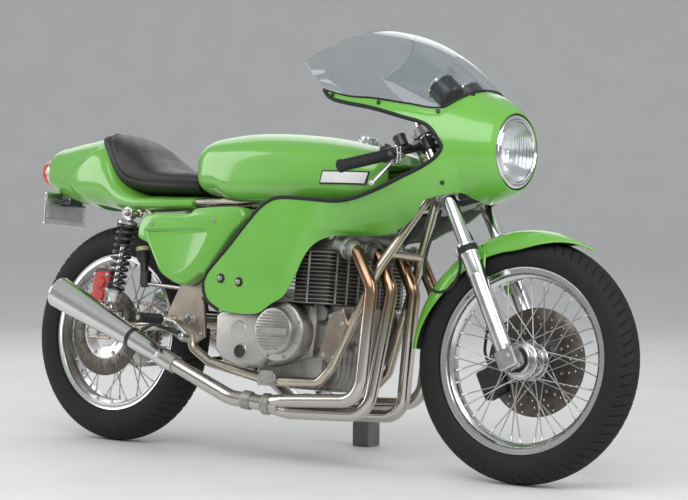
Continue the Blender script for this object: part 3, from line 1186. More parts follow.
def make_bars():
    """Right-hand bar, grip, lever and switches, and the same on the left; flat points up from the bar."""
    up, out = vec(0, 0, 1), BAR_DIR
    flat = (up - out * up.dot(out)).normalized()
    fwd = flat.cross(out).normalized()
    bar, grip, lever, sw, cable = Build(), Build(), Build(), Build(), Build()
    z = 985
    bar.lathe([(-18, 24.5), (-16.5, 26), (16.5, 26), (18, 24.5)], (FORK_X, -FORK_W, z), up, 40)
    bar.box((FORK_X + 20, -FORK_W - 9, z - 15), (FORK_X + 38, -FORK_W + 9, z + 15), 2)
    for dz in (-9, 9):
        lever.bolt((FORK_X + 29, -FORK_W - 9, z + dz), RIGHT, 4.6, 4, 1)
    bar.tube([(FORK_X - 17, -FORK_W - 8, z), BAR_IN, BAR_OUT], 11, 12, n=24)
    # Ribbed grip with its flange
    start = BAR_IN + out * 108
    length = (BAR_OUT + out * 3 - start).length
    prof = [(0, 15), (1, 19.5), (3.5, 20), (5, 19), (6.5, 16.6)]
    t = 9.0
    while t < length - 16:
        prof += [(t, 16.6), (t + 1.0, 15.6), (t + 2.0, 15.6), (t + 3.0, 16.6)]
        t += 5.4
    prof += [(length - 12, 16.6), (length - 10, 18.6), (length - 3, 18.8), (length - 0.6, 17.2),
             (length, 13), (length + 2, 12.6), (length + 2.4, 6), (length + 0.5, 5.5), (length + 0.5, 0.01)]
    grip.lathe(prof, start, out, 40)
    # Throttle and switch housings, master cylinder with its reservoir
    h = BAR_IN + out * 84
    sw.lathe([(-1, 18), (0, 20.5), (11, 20.8), (12, 20), (23, 20), (24, 17.5)], h, out, 36)
    sw.lathe([(-15, 8), (-13.5, 10), (13.5, 10), (15, 8)], h + out * 12 + flat * 18, out, 20)
    sw.lathe([(0, 6), (9, 6), (11, 4.6)], h + out * 6 + flat * 20, flat, 18)
    sw.lathe([(0, 4), (5, 4), (6, 3)], h + out * 18 + flat * 20, (flat - fwd * 0.6), 14)
    m = BAR_IN + out * 52
    sw.lathe([(0, 15.5), (1.5, 18), (26, 18), (27.5, 15.5)], m, out, 36)
    sw.rod(m + fwd * 16 - out * 22, m + fwd * 16 + out * 34, 10.5, n=24, edge=1.5)
    sw.lathe([(0, 14), (2, 17), (26, 17.4), (27, 18.6), (33, 18.6), (35, 17), (36.5, 12), (36.8, 0.01)],
             m + fwd * 16 + flat * 6, flat, 36)
    root = m + fwd * 26 + out * 26 - flat * 3
    sw.box(root - vec(11, 11, 8), root + vec(11, 11, 8), 2.5)
    # Lever: blade that dips away from the bar and ends in a ball
    a, c, e = to_steer((1128, -166, 862)), to_steer((1118, -212, 838)), to_steer((1102, -282, 770))
    path = smooth_line([root, root + (a - root) * 0.6 + out * 8, a + out * 14, c, c.lerp(e, 0.5) + fwd * 2,
                        e], 8)
    radii = [lerp(8.4, 5.6, min(1, i / (len(path) * 0.55))) for i in range(len(path))]
    lever.rings(sweep(path, 6, 18, radii))
    lever.lathe([(-9, 0.01), (-8.4, 3.6), (-6, 7), (-2.6, 8.8), (2.6, 8.8), (6, 7), (8.4, 3.6), (9, 0.01)],
                e, path[-1] - path[-2], 24)
    lever.bolt(root + flat * 9, flat, 5, 4, 1.6)
    lever.bolt(root - flat * 9, -flat, 5, 4, 1.6)
    for off in (-4, 10):
        sw.screw(m + fwd * 20 + out * off + flat * 42, flat, 2.2, 1.4)
    # Throttle cables' bright elbows below the housing
    for off in (2, 12):
        p0 = h + out * off - flat * 16
        cable.tube([p0 + fwd * f + flat * u for f, u in ((0, 0), (2, -14), (22, -26), (46, -12), (62, 6))],
                   2.5, 16, n=10)
    bar.mirrored().make("bars_clip_on", BLACK, "steering", replaces="handlebars")
    grip.mirrored().make("grips_ribbed", RUBBER, "steering", replaces="grips")
    lever.mirrored().make("levers_polished", POLISHED, "steering")
    sw.mirrored().make("bar_switchgear", BLACK, "steering")
    cable.mirrored().make("cable_elbows", CHROME, "steering")


def make_mudguard():
    """Shell whose skirts fade out towards the beak, with a rolled edge and its brackets."""
    crown, r, thick = 353, 66, 3.4
    n, m = 110, 28

    def point(turn, side, depth):
        reach = crown - r + (r - depth) * cos(side)
        return vec(reach * cos(turn), (r - depth) * sin(side), reach * sin(turn))

    outer, inner = [], []
    for i in range(n + 1):
        deg = lerp(32, 150, i / n)
        half = radians(lerp(3, 84, fade(deg, 31.5, 70) ** 0.6)) * (1 - 0.3 * fade(deg, 112, 150))
        for rows, depth in ((outer, 0), (inner, thick)):
            rows.append([point(radians(deg), lerp(-half, half, j / m), depth) for j in range(m + 1)])
    edge = [a[m].lerp(b[m], 0.5) for a, b in zip(outer, inner)]
    v, f, s = sheet_mesh(outer, inner)
    piece("mudguard_shell", v, f, PAINT, "steering", place=FRONT, replaces="front_mudguard",
          materials=[PAINT_IN], face_slots=s, smooth=45)
    b = Build()
    b.rings(sweep(edge, 2.6, 10))
    # Brackets from the shell down to the sliders
    for dx in (-26, 26):
        b.tube([(dx, 50, 326), (dx * 0.9, 62, 300), (dx * 0.5, 76, 262), (dx * 0.2, 80, 236)], 4.2, 24, n=12)
    b.box((-24, 72, 214), (-4, 82, 268), 2)
    b.mirrored().make("mudguard_brackets", PAINT, "steering", place=FRONT)
    c = Build()
    for z in (224, 256):
        c.bolt((-14, 72, z), RIGHT, 4.4, 3.2, 1.6)
    for dx in (-26, 26):
        c.screw((dx, 55, 331), (0, 0.5, 0.85), 5, 3)
    c.mirrored().make("mudguard_bolts", STEEL, "steering", place=FRONT)


def make_front_caliper():
    b = Build()
    b.box((-176, 60, -37), (-100, 75, 47), 4)
    b.box((-176, 32, -37), (-100, 46, 47), 4)
    b.box((-176, 33, 16), (-150, 74, 46), 3)
    b.box((-176, 33, -36), (-160, 74, 46), 3)
    for z in (-16, 26):
        b.lathe([(0, 20), (6, 20), (8.5, 17), (8.5, 11), (7, 10), (7, 0.01)], (-134, 74, z), LEFT, 36)
        b.lathe([(0, 18), (3, 18), (4.5, 16), (4.5, 0.01)], (-134, 33, z), RIGHT, 36)
    b.box((-168, 71, -20), (-28, 92, 20), 3)
    b.make("front_caliper_body", BLACK, "steering", place=FRONT, replaces="front_caliper")
    c = Build()
    c.bolts(((-165, 38), (-165, -28), (-108, 38), (-108, -28)), 75, 4.4, 4.4, 1.2)
    c.bolts(((-46, -11), (-46, 11)), 92, 6, 5, 1.6)
    c.lathe([(0, 4.5), (6, 4.5), (7, 3), (13, 3), (14, 4), (16, 3.4)], (-140, 68, 47), UP, 14)
    c.make("front_caliper_bolts", STEEL, "steering", place=FRONT)
    # Brake hose from the caliper up behind the fork to the lower yoke
    h = Build()
    h.tube([(-140, 60, 46), (-142, 62, 96), (-104, 78, 176), (-66, 84, 300), (-62, 70, 420), (-74, 30, 492)],
           4.4, 70, n=12, steps=10)
    h.make("front_brake_hose", RUBBER, "steering", place=FRONT)


# ---------------------------------------------------------------- headlight and instruments


def make_headlight():
    o, d = vec(1384, 0, NOSE_Z), vec(1, 0, 0)
    b = Build()
    b.lathe([(-16, 97), (-15, 100), (-10, 101.5), (-3, 101.5), (1.5, 99.6), (4, 96.6), (4.6, 93.8),
             (3.6, 91.6), (1.2, 90.8), (0.6, 90.2), (1.4, 89.6), (4, 88.9), (6.2, 87.2), (6.8, 85.2),
             (5.8, 83.4), (3, 82.8), (-6, 82.6)], o, d, 128, caps=False)
    b.make("headlight_rings", CHROME, replaces="headlight", smooth=30)
    g = Build()
    g.lathe([(-20, 103), (-17, 105.5), (-11, 105.5), (-8, 102.5)], o, d, 96, caps=False)
    g.lathe([(-20, 103), (-8, 102.5)], o, d, 96, caps=False)
    g.make("headlight_gasket", RUBBER)
    # Reflector bowl with its bulb
    prof = [(2 - 70 * (1 - (q / 83) ** 2), q) for q in (82.6, 80, 76, 70, 62, 52, 42, 32, 24, 20)]
    x0 = prof[-1][0]
    prof += [(x0 - 6, 20), (x0 - 6, 0.01)]
    Build().lathe(prof, o, d, 96, caps=False).make("headlight_reflector", LAMP_SILVER)
    bulb = Build()
    bulb.lathe([(x0 - 4, 14), (x0 + 2, 14), (x0 + 4, 10), (x0 + 22, 9), (x0 + 30, 6.5), (x0 + 34, 0.01)], o,
               d, 28)
    bulb.make("headlight_bulb", LAMP_SILVER)
    # Lens: domed outside, prism flutes inside
    n, m, lens_r = 96, 34, 83.4
    verts, faces = [], []
    for side in (0, 1):
        for j in range(m + 1):
            q = lens_r * j / m
            for c, s in circle(n):
                y, z = q * c, q * s
                x = 1.5 + 8.5 * (1 - (q / lens_r) ** 2)
                if side:
                    band = 0.5 if abs(z + 8) < 26 else 1.0
                    flute = 0.5 + 0.5 * sin(y * 0.62 * band + (0.8 if z > 22 else 0))
                    x -= 2.6 + 0.9 * flute * (1 - (q / lens_r) ** 6)
                verts.append(o + vec(x, y, z))
    for side in (0, 1):
        base = side * (m + 1) * n
        for j in range(m):
            for k in range(n):
                near, far, after = base + j * n, base + (j + 1) * n, (k + 1) % n
                f = (near + k, far + k, far + after, near + after)
                faces.append(f if side else f[::-1])
    for k in range(n):
        a, c = m * n + k, m * n + (k + 1) % n
        faces.append((a, c, c + (m + 1) * n, a + (m + 1) * n))
    piece("headlight_lens", verts, faces, LENS, smooth=60)
    # Shell behind the reflector
    s = Build()
    s.lathe([(-16, 96), (-56, 92), (-90, 42), (-90.5, 0.01)], o, d, 64, caps=False)
    s.make("headlight_shell", BLACK)


def make_instruments():
    d = vec(-sin(radians(52)), 0, cos(radians(52)))
    case, rim, face, glass, hand = Build(), Build(), Build(), Build(), Build()
    for s in (-1, 1):
        o = vec(1212, s * 66, 1030)
        case.lathe([(0, 26), (1, 34), (6, 39), (10, 40), (52, 40), (55, 40.6), (58, 41)], o, d, 48)
        rim.lathe([(54, 40.4), (56, 43), (61, 43), (63, 41.5), (63.2, 39), (60, 38.2), (58.6, 38)], o, d, 64,
                  caps=False)
        face.lathe([(57.8, 38.4), (58, 37), (58, 0.01)], o, d, 48, caps=False)
        glass.lathe([(60.4, 38.4), (61.6, 30), (62.2, 14), (62.3, 0.01)], o, d, 48, caps=False)
        v = vec(0, 1, 0)
        u = d.cross(v).normalized()
        for k in range(27):
            a = radians(-40 + k * 10)
            q0, q1 = (27 if k % 3 == 0 else 30.5), 35
            w = u * sin(a) + v * cos(a)
            c = w.cross(d) * (0.7 if k % 3 == 0 else 0.4)
            base = o + d * 58.5
            hand.add([base + w * q0 - c, base + w * q0 + c, base + w * q1 + c, base + w * q1 - c],
                     [(0, 1, 2, 3)])
        a = radians(-38)
        w = u * sin(a) + v * cos(a)
        hand.rod(o + d * 59 - w * 6, o + d * 59 + w * 27, 0.9, 0.4, n=8)
        hand.lathe([(58, 3.4), (60, 3.4), (60.4, 2.4)], o, d, 16)
    case.make("dial_cases", BLACK, replaces="instruments")
    rim.make("dial_rims", CHROME)
    face.make("dial_faces", BLACK)
    glass.make("dial_glasses", LENS)
    hand.make("dial_marks", WHITE)
    # Bracket across the dials with warning lamps
    b = Build()
    p = vec(1212, 0, 1030) + d * 30
    b.box((p.x - 16, -40, p.z - 9), (p.x + 16, 40, p.z + 5), 2)
    b.make("dial_bracket", BLACK)
    # Stays inside the fairing: one from the head tube to the headlight, and three on each side
    stay, low = Build(), NOSE_Z - 53
    yokes_mid = vec(STEER_X, 0, 0) + HEAD_DIR * ((LOWER_YOKE + UPPER_YOKE) / 2)
    stay.tube([yokes_mid + vec(25, 0, 12), (1262, 0, low + 6), (1288, 0, NOSE_Z - 20)], 8, 20, n=16)
    stay.lathe([(0, 37), (1.5, 38), (10.5, 38), (12, 37)], (1281.7, 0, NOSE_Z), FORE, 40)
    k = Build()
    k.tube([(1262, -4, low + 5), (1248, -120, low + 12), (1240, -170, low + 20)], 8, 30, n=16)
    k.rod((1240, -162, low + 20), (1240, -176, low + 20), 10, n=20, edge=1)
    dial = vec(1212, -66, 1030)
    k.tube([(1258, -20, low + 6), (1256, -66, low + 40), dial - d * 40, dial - d * 0.3], 8, 24, n=16)
    k.lathe([(-5, 14), (-0.4, 14)], dial, d, 24)
    k.tube([(436, -145, 446), (490, -192, 462), (608, -214, 500)], 7, 30, n=16)
    k.rod((604, -210, 500), (604, -225.5, 500), 10, n=20, edge=1)
    k.mirrored()
    stay.add(k.v, k.f).make("fairing_stays", BLACK, replaces="fairing_stay")


# ---------------------------------------------------------------- frame
PIVOT_X, PIVOT_Z = 391, 381
SHOCK_TOP, SHOCK_FOOT = vec(125, -150, 688), vec(76, -150, 398)
PEG_X, PEG_Z = 318, 376
OUTPUT = vec(560, 0, 346)


def make_frame():
    tube, plates, bolts = Build(), Build(), Build()
    tube.tube([HEAD_MID + vec(-20, -16, 14), (640, -104, 744), (520, -106, 730), (452, -106, 730)], 14, 200,
              n=28)
    side = [HEAD_LOW + vec(-31, -12, 29), (1021, -94, 560), (912, -138, 268), (872, -138, 228),
            (700, -138, 222), (470, -138, 262), (402, -138, 300), (395, -138, 335)]
    tube.tube(side, 14, 34, n=28)
    tube.tube([(352, -124, 492), (410, -108, 714)], 12, n=20)
    # Weld beads where tubes meet
    for p in ((410, -108, 714), (404, -111.5, 692)):
        tube.lathe([(-3, 12), (0, 15.2), (3, 12)], p, (58, 16, 222), 24)
    tube.mirrored()
    for x, z, w, r in ((560, 734, 98, 9), (900, 795, 56, 9), (1040, 600, 80, 12)):
        tube.rod((x, -w, z), (x, w, z), r, n=20)
    tube.lathe([(-1, 27), (0, 29), (16, 29), (18, 27.6), (128, 27.6), (130, 29), (145, 29), (146.5, 27)],
               HEAD_LOW, HEAD_DIR, 48)
    tube.make("frame_tubes", NICKEL, replaces="upper_frame", smooth=32)
    pivot = [(302, 346), (302, 402), (350, 500), (372, 512), (420, 505), (440, 420), (450, 336), (410, 312),
             (360, 315)]
    plates.plate(pivot, -144, -132, 2)
    engine = [(868, 300), (926, 290), (958, 395), (945, 440), (900, 425)]
    plates.plate(engine, -144, -113, 1.5)
    plates.mirrored()
    plates.make("frame_plates", PLATES, replaces="cradle", smooth=30)
    bolts.bolts(((884, 306), (918, 302), (944, 396), (938, 428), (902, 416)), -144, 6, 5, 1.8)
    for x, z, r, h in ((PIVOT_X, PIVOT_Z, 15, 7), (352, 492, 6, 5), (PEG_X, PEG_Z, 9, 5), (430, 340, 6, 5)):
        bolts.bolt((x, -144, z), RIGHT, r, h, 2.4)
    bolts.mirrored()
    # Bracket with bolts on the lower tube
    for s in (-1, 1):
        bolts.plate([(668, 208), (732, 208), (732, 238), (720, 252), (680, 252), (668, 238)], s * 157,
                    s * 152, 1)
        bolts.bolts(((680, 222), (720, 222)), s * 157, 6, 4.5, 1.6)
    bolts.make("frame_bolts", STEEL, smooth=30)
    # Seat rails and struts
    r = Build()
    r.tube([(451, -106, 730), (180, -108, 724), (-70, -92, 744)], 12, 120, n=22)
    r.rod((125, -104, 690), (125, -112, 690), 13, n=24, edge=1)
    r.rod((125, -106, 688), (125, -174, 688), 9, n=20)
    r.tube([(150, -108, 716), (333, -121, 513)], 11, n=20)
    r.mirrored()
    for x in (60, 300):
        r.rod((x, -96, 726), (x, 96, 726), 9, n=20)
    r.make("seat_rail_tubes", NICKEL, replaces="seat_rails", smooth=32)


def make_swingarm():
    b = Build()
    b.tube([(PIVOT_X, -108, PIVOT_Z), (330, -108, 373), (110, -110, 345), (40, -112, 336)], 17, 60, n=28)
    b.box((-34, -118, 305), (50, -106, 355), 3)
    b.rod((76, -104, 352), (76, -104, 404), 9, n=20)
    b.rod((76, -104, 398), (76, -146, 398), 10, n=22, edge=1)
    b.mirrored()
    b.rod((PIVOT_X, -131, PIVOT_Z), (PIVOT_X, 131, PIVOT_Z), 22, n=36, edge=1)
    b.rod((310, -100, 371), (310, 100, 371), 12, n=24)
    b.make("swingarm_tubes", NICKEL, replaces="swingarm", smooth=32)
    s = Build()
    for y in (-1, 1):
        s.box((-30, min(y * 118, y * 124), 314), (44, max(y * 118, y * 124), 346), 2)
        s.bolt((0, y * 124, 330), (0, y, 0), 15, 9, 3)
        s.rod((-34, y * 112, 330), (-54, y * 112, 330), 4, n=12)
        s.bolt((-46, y * 112, 330), AFT, 7, 6)
        s.lathe([(0, 14), (5, 14), (6, 12), (6, 5), (4, 4.6), (4, 0.01)], (PIVOT_X, y * 150, PIVOT_Z),
                (0, y, 0), 32)
        s.bolt((76, y * 166, 398), (0, y, 0), 8, 6, 2)
        s.bolt((125, y * 172, 688), (0, y, 0), 8, 7, 3)
    s.rod((0, -124, 330), (0, 124, 330), 10, n=24)
    s.rod((PIVOT_X, -156, PIVOT_Z), (PIVOT_X, 156, PIVOT_Z), 12, n=28)
    s.make("axle_and_adjusters", STEEL)


def make_shocks():
    coil, rod, body, steel = Build(), Build(), Build(), Build()
    a, b = SHOCK_TOP, SHOCK_FOOT
    d, n, ax = (b - a).normalized(), (b - a).length, vec(0, 1, 0)
    body.rod(a - ax * 14, a + ax * 14, 19, n=36, edge=1.5)
    body.lathe([(12, 12), (20, 15), (24, 24), (26, 32), (33, 32), (34.5, 30), (34.5, 14)], a, d, 48)
    steel.lathe([(34, 19), (48, 19), (92, 18), (94, 16), (94, 8)], a, d, 40)
    rod.lathe([(96, 8), (n - 60, 8)], a, d, 24)
    body.lathe([(n - 70, 19), (n - 64, 26), (n - 60, 31), (n - 56, 31), (n - 52, 27), (n - 40, 25.5),
                (n - 24, 25), (n - 18, 18), (n - 12, 12)], a, d, 48)
    body.rod(b - ax * 14, b + ax * 14, 17, n=36, edge=1.5)
    coil.spiral(a + d * 34.5, a + d * (n - 57), 26.4, 4.6, 11.5, n=12, per=30, flat=0.8)
    for p, r in ((a, 13), (b, 12)):
        steel.rod(p - ax * 15, p + ax * 15, r - 3, n=24)
    coil.mirrored().make("shock_coils", SPRING, replaces="rear_shocks", smooth=50)
    rod.mirrored().make("shock_rods", CHROME)
    body.mirrored().make("shock_bodies", POLISHED)
    steel.mirrored().make("shock_bushes", RUBBER)


# ---------------------------------------------------------------- engine


CYLINDER_Y = (-156, -52, 52, 156)
PORT_DIR = vec(36, 0, -8).normalized()


def make_crankcase(bolts):
    c = Build()
    main = [(548, 290), (548, 440), (600, 486), (690, 486), (745, 446), (950, 446), (940, 400), (922, 350),
            (916, 250), (900, 216), (720, 212), (640, 250)]
    outer = [(560, 300), (560, 425), (610, 470), (700, 470), (760, 446), (850, 446), (856, 400), (850, 300),
             (700, 262), (600, 278)]
    c.plate(main, -111.5, 111.5, 6)
    c.plate(outer, -150, -100, 5)
    left = [(642, 276), (642, 466), (700, 470), (760, 446), (850, 446), (856, 400), (850, 300), (700, 262)]
    c.plate(left, 100, 150, 5)
    # Seam of the two halves, sump ribs, and case bolts
    c.stack(main, ((-111, 3), (-111, -1.5), (-104, -1.5), (-104, 3)))
    for x in range(735, 883, 21):
        c.box((x, -96, 205), (x + 4.5, 96, 222), 1.5)
    c.lathe([(0, 14), (12, 14), (13, 12.5)], (930, -60, 330), (1, 0, -0.15), 28)
    c.lathe([(0, 46), (13, 46), (15, 44), (15, 20)], (560, 62, 346), LEFT, 48)
    for s in (-1, 1):
        for x, z, r, t in ((874, 356, 40, 16), (896, 300, 22, 10), (858, 424, 24, 22), (906, 418, 15, 12)):
            c.lathe([(0, r), (t - 3, r * 0.96), (t, r * 0.84), (t, 0.01)], (x, s * 110, z), (0, s, 0), 40)
        near, far = sorted((s * 109, s * 117))
        for k in range(5):
            c.box((862 + 10 * k, near, 232 + 6 * k), (866 + 10 * k, far, 292 - 3 * k), 1.2)
    rib = ((900, 214), (919, 250), (925, 350), (916, 350), (908, 250), (896, 222))
    for y in range(-96, 97, 24):
        c.rings([[vec(x, y + w, z) for x, z in rib] for w in (-2, 2)])
    c.make("crankcase_cast", CAST, replaces="crankcase", smooth=30)
    for x, z in ((575, 318), (572, 408), (622, 452), (692, 456), (756, 434), (842, 434), (842, 310),
                 (700, 276), (612, 288)):
        for y in (-150, 150) if x > 640 else (-150,):
            bolts.bolt((x, y, z), (0, y, 0), 5, 5, 1.4)


def fin(b, x0, x1, w, z, thick, r=16):
    """Flat fin with round corners, from -w to w across the bike."""
    corners = ((x1 - r, w - r, 0), (x0 + r, w - r, 90), (x0 + r, r - w, 180), (x1 - r, r - w, 270))
    outline = [(cx + r * cos(radians(a)), cy + r * sin(radians(a))) for cx, cy, start in corners
               for a in range(start, start + 91, 15)]
    b.stack(outline, ((z, 1.1), (z + 0.8, 0), (z + thick - 0.8, 0), (z + thick, 1.1)), level=True)


def make_cylinders():
    """Fins with columns of bosses between them, round a dark block."""
    b = Build()
    low, pitch, count = 448, 10.9, 14
    for k in range(count):
        fin(b, 782, 928, 199.5, low + k * pitch, 2.4)
    b.slot = 1
    b.box((796, -184, 446), (914, 184, 598), 6)
    b.slot = 0
    columns = [(x, y, 3.6) for y in (-156, -104, -52, 0, 52, 104, 156) for x in (922, 788)]
    for x, y, r in columns + [(855, -195, 3.4), (855, 195, 3.4)]:
        for k in range(count - 1):
            b.rod((x, y, low + 2 + k * pitch), (x, y, low + 1 + (k + 1) * pitch), r, n=12)
    b.make("cylinder_fins", FIN, replaces="cylinders", smooth=30, materials=[FIN_DARK])


def make_head(bolts):
    head = Build()
    cams, cam_z = (814, 888), 646
    for k in range(3):
        fin(head, 784, 926, 163.5, 600 + k * 12.5, 3.2, 12)
    head.box((792, -160, 598.4), (918, 160, 645), 5)
    for x in cams:
        head.lathe([(0, 31), (2, 33.4), (312, 33.4), (314, 31)], (x, -157, cam_z), LEFT, 48)
        for y in (-157, 157):
            bolts.lathe([(0, 20), (4, 20), (6, 17), (6, 0.01)], (x, y, cam_z), (0, y, 0), 28)
            for k in range(3):
                a = tau * k / 3 + 0.4
                bolts.screw((x + 27 * cos(a), y, cam_z + 27 * sin(a)), (0, y, 0), 3.4, 2.6)
    head.box((828, -120, 640), (874, 120, 660), 4)
    for y in CYLINDER_Y:
        for x, d in ((916, PORT_DIR * 38), (794, vec(-34, 0, -2).normalized() * 35)):
            head.rod((x, y, 614), vec(x, y, 614) + d, 20, n=32, edge=1)
    for y in range(-143, 144, 26):
        for x in (800, 910):
            bolts.bolt((x, y, 645), UP, 4.4, 4, 1)
    head.make("cylinder_head_cast", CAST, replaces="cylinder_head", smooth=30)
    bolts.make("engine_bolts", STEEL)
    caps = Build()
    for x in cams:
        for s in (-1, 1):
            caps.lathe([(5, 13), (8, 13), (10, 10), (10, 0.01)], (x, s * 157, cam_z), (0, s, 0), 28)
    # Spark plugs' caps
    for y in (-104, 0, 104):
        caps.lathe([(-4, 9), (14, 9), (18, 7), (24, 5)], (851, y, 660), UP, 20)
    caps.make("engine_black_plugs", BLACK)


def make_engine():
    """Crankcase, cylinders and head; the bolts gathered on the way become one piece."""
    bolts = Build()
    make_crankcase(bolts)
    make_cylinders()
    make_head(bolts)


def make_covers():
    c, screws, black = Build(), Build(), Build()
    cx, cz = 767, 364
    clutch = [(528, 300), (524, 400), (545, 418), (700, 426), (740, 380), (735, 300), (690, 262), (620, 252),
              (560, 268)]
    c.stack(clutch, ((-150.3, 0), (-160, 0), (-178, 1.5), (-188, 5), (-194, 11), (-196, 20)))
    c.stack(clutch, ((-150.3, -3), (-157, -3), (-158, -1), (-158, 2)))
    c.lathe([(0, 86), (46, 86), (52, 83), (55.7, 76), (55.7, 40)], (cx, -150.3, cz), RIGHT, 72)
    c.lathe([(50, 66), (74, 65), (78, 63), (79.5, 58), (79.5, 0.01)], (cx, -150.3, cz), RIGHT, 72)
    # Ribs across the round cover, each side of its plain band
    for k in (-6, -5, -4, -3, -2, 2, 3, 4, 5, 6):
        rise = k * 8.6
        half = math.sqrt(58 ** 2 - rise ** 2)
        c.box((cx - half, -234, cz + rise - 2), (cx + half, -228, cz + rise + 2), 1.4)
    c.box((711, -235, 353), (823, -228, 375), 2.2)
    for x in (718, 816):
        screws.screw((x, -235, cz), RIGHT, 5, 2.4)
    bolt_ring(screws, 8, cx, -205.4, cz, 77, 4.2, 4, 1, 0.5)
    for x, z in ((541, 303), (538, 396), (600, 414), (668, 414), (568, 276), (640, 264)):
        c.lathe([(-6, 9), (8, 9), (10, 7.5)], (x, -178, z), RIGHT, 20)
        screws.bolt((x, -188, z), RIGHT, 4.6, 4.4, 1.2)
    black.lathe([(-4, 19), (5, 19), (7, 17), (7, 9), (5.5, 8.6), (5.5, 0.01)], (630, -196, 300), RIGHT, 36)
    c.lathe([(-10, 24), (1, 24), (3, 22), (3, 18)], (630, -196, 300), RIGHT, 36)
    c.lathe([(-12, 30), (-1, 30), (1.5, 27), (1.5, 0.01)], (618, -196, 358), RIGHT, 40)
    # Left side: generator cover and output cover
    c.lathe([(0, 86), (50, 86), (58, 82), (62, 74), (63.7, 60), (63.7, 0.01)], (cx, 150.3, cz), LEFT, 72)
    c.lathe([(60, 52), (66, 52), (67, 50), (67, 0.01)], (cx, 148, cz), LEFT, 48)
    output = [(528, 300), (524, 400), (545, 430), (640, 430), (668, 380), (655, 300), (600, 268)]
    c.stack(output, ((152, 0), (168, 0), (174, 3), (178, 10)))
    bolt_ring(screws, 8, cx, 205, cz, 79, 4.2, 5, 1, 0.5)
    screws.bolts(((543, 312), (540, 392), (560, 418), (630, 418), (645, 306)), 173, 4.6, 5.4, 1.2)
    c.make("engine_covers_cast", POLISHED_CAST, replaces="engine_covers", smooth=30)
    screws.make("cover_bolts", STEEL)
    black.make("cover_plug", BLACK)


def make_carbs():
    b, top, clamps = Build(), Build(), Build()
    for y in CYLINDER_Y:
        b.lathe([(0, 21), (3, 23), (18, 23), (20, 21), (64, 21), (66, 24.5), (95, 24.5), (97.6, 22),
                 (97.6, 19), (70, 17)], (757.7, y, 614), AFT, 40)
        b.lathe([(0, 20), (2, 24), (6, 25), (40, 25), (42, 27), (46, 27), (48, 25)], (712, y, 560), UP, 40)
        b.lathe([(0, 8), (-6, 8), (-8, 6)], (712, y, 560), UP, 6)
        top.lathe([(0, 22), (20, 22), (22, 24), (27, 24), (30, 21), (33, 14), (33.6, 0.01)], (712, y, 633),
                  UP, 36)
        for dx, dy in ((-17, -17), (17, -17), (-17, 17), (17, 17)):
            clamps.screw((712 + dx, y + dy, 607), UP, 3, 3)
        clamps.lathe([(2, 24.5), (4, 25.5), (10, 25.5), (12, 24.5)], (757.7, y, 614), AFT, 36)
        clamps.bolt((752, y - 25, 614), RIGHT, 4, 4)
    b.rod((735, -170, 612), (735, 170, 612), 9, n=20, edge=1)
    b.make("carburettor_bodies", CAST, replaces="carburettors", smooth=32)
    top.make("carburettor_tops", POLISHED)
    clamps.make("carburettor_clamps", STEEL)


# ---------------------------------------------------------------- exhaust


LINK_END, SIL_END = vec(371, -205, 258), vec(-62, -233, 438)
SIL_DIR = (SIL_END - LINK_END).normalized()


def make_exhaust():
    """Two header pipes on each side that join in a link pipe; each bends down, back and in."""
    pipes, clamps, bolts = Build(), Build(), Build()
    d, join = PORT_DIR, vec(690, -128, 156)
    for y, pts, rise in ((-156, [(1044, -155, 500), (1026, -150, 188), (750, -134, 170)], 6),
                         (-52, [(1040, -54, 500), (1008, -84, 148), (750, -108, 138)], -6)):
        s = vec(954, y, 606) + d * 0.3
        pipes.tube([s, s + d * 30, *pts, join + vec(4, 0, rise)], 19, 66, n=32, steps=12)
        clamps.lathe([(-3, 30), (0, 31), (6, 31), (7.5, 29.5)], s, d, 40)
        for t in (9, 15, 21):
            clamps.lathe([(t, 23), (t + 1, 27.5), (t + 3, 27.5), (t + 4, 23)], s, d, 40)
        clamps.lathe([(0, 22), (30, 22), (31, 20.5)], s, d, 40)
        for dy in (-25.5, 25.5):
            bolts.bolt(s + vec(0, dy, 0) + d * 7, d, 4.6, 6, 1)
    pipes.tube([join + vec(40, 4, 0), join, (570, -152, 166), LINK_END - SIL_DIR * 26, LINK_END + SIL_DIR
                * 4], 22, 90, n=32, steps=10)
    clamps.rod((640, -138, 161), (612, -144, 164), 27, n=36, edge=2)
    clamps.rod((700, -127, 156), (676, -131, 156), 31, n=36, edge=5)
    pipes.mirrored().make("header_pipes", HEADER, replaces="exhaust_headers", smooth=50)
    clamps.mirrored().make("header_clamps", CAST, smooth=32)
    bolts.mirrored().make("header_bolts", STEEL)


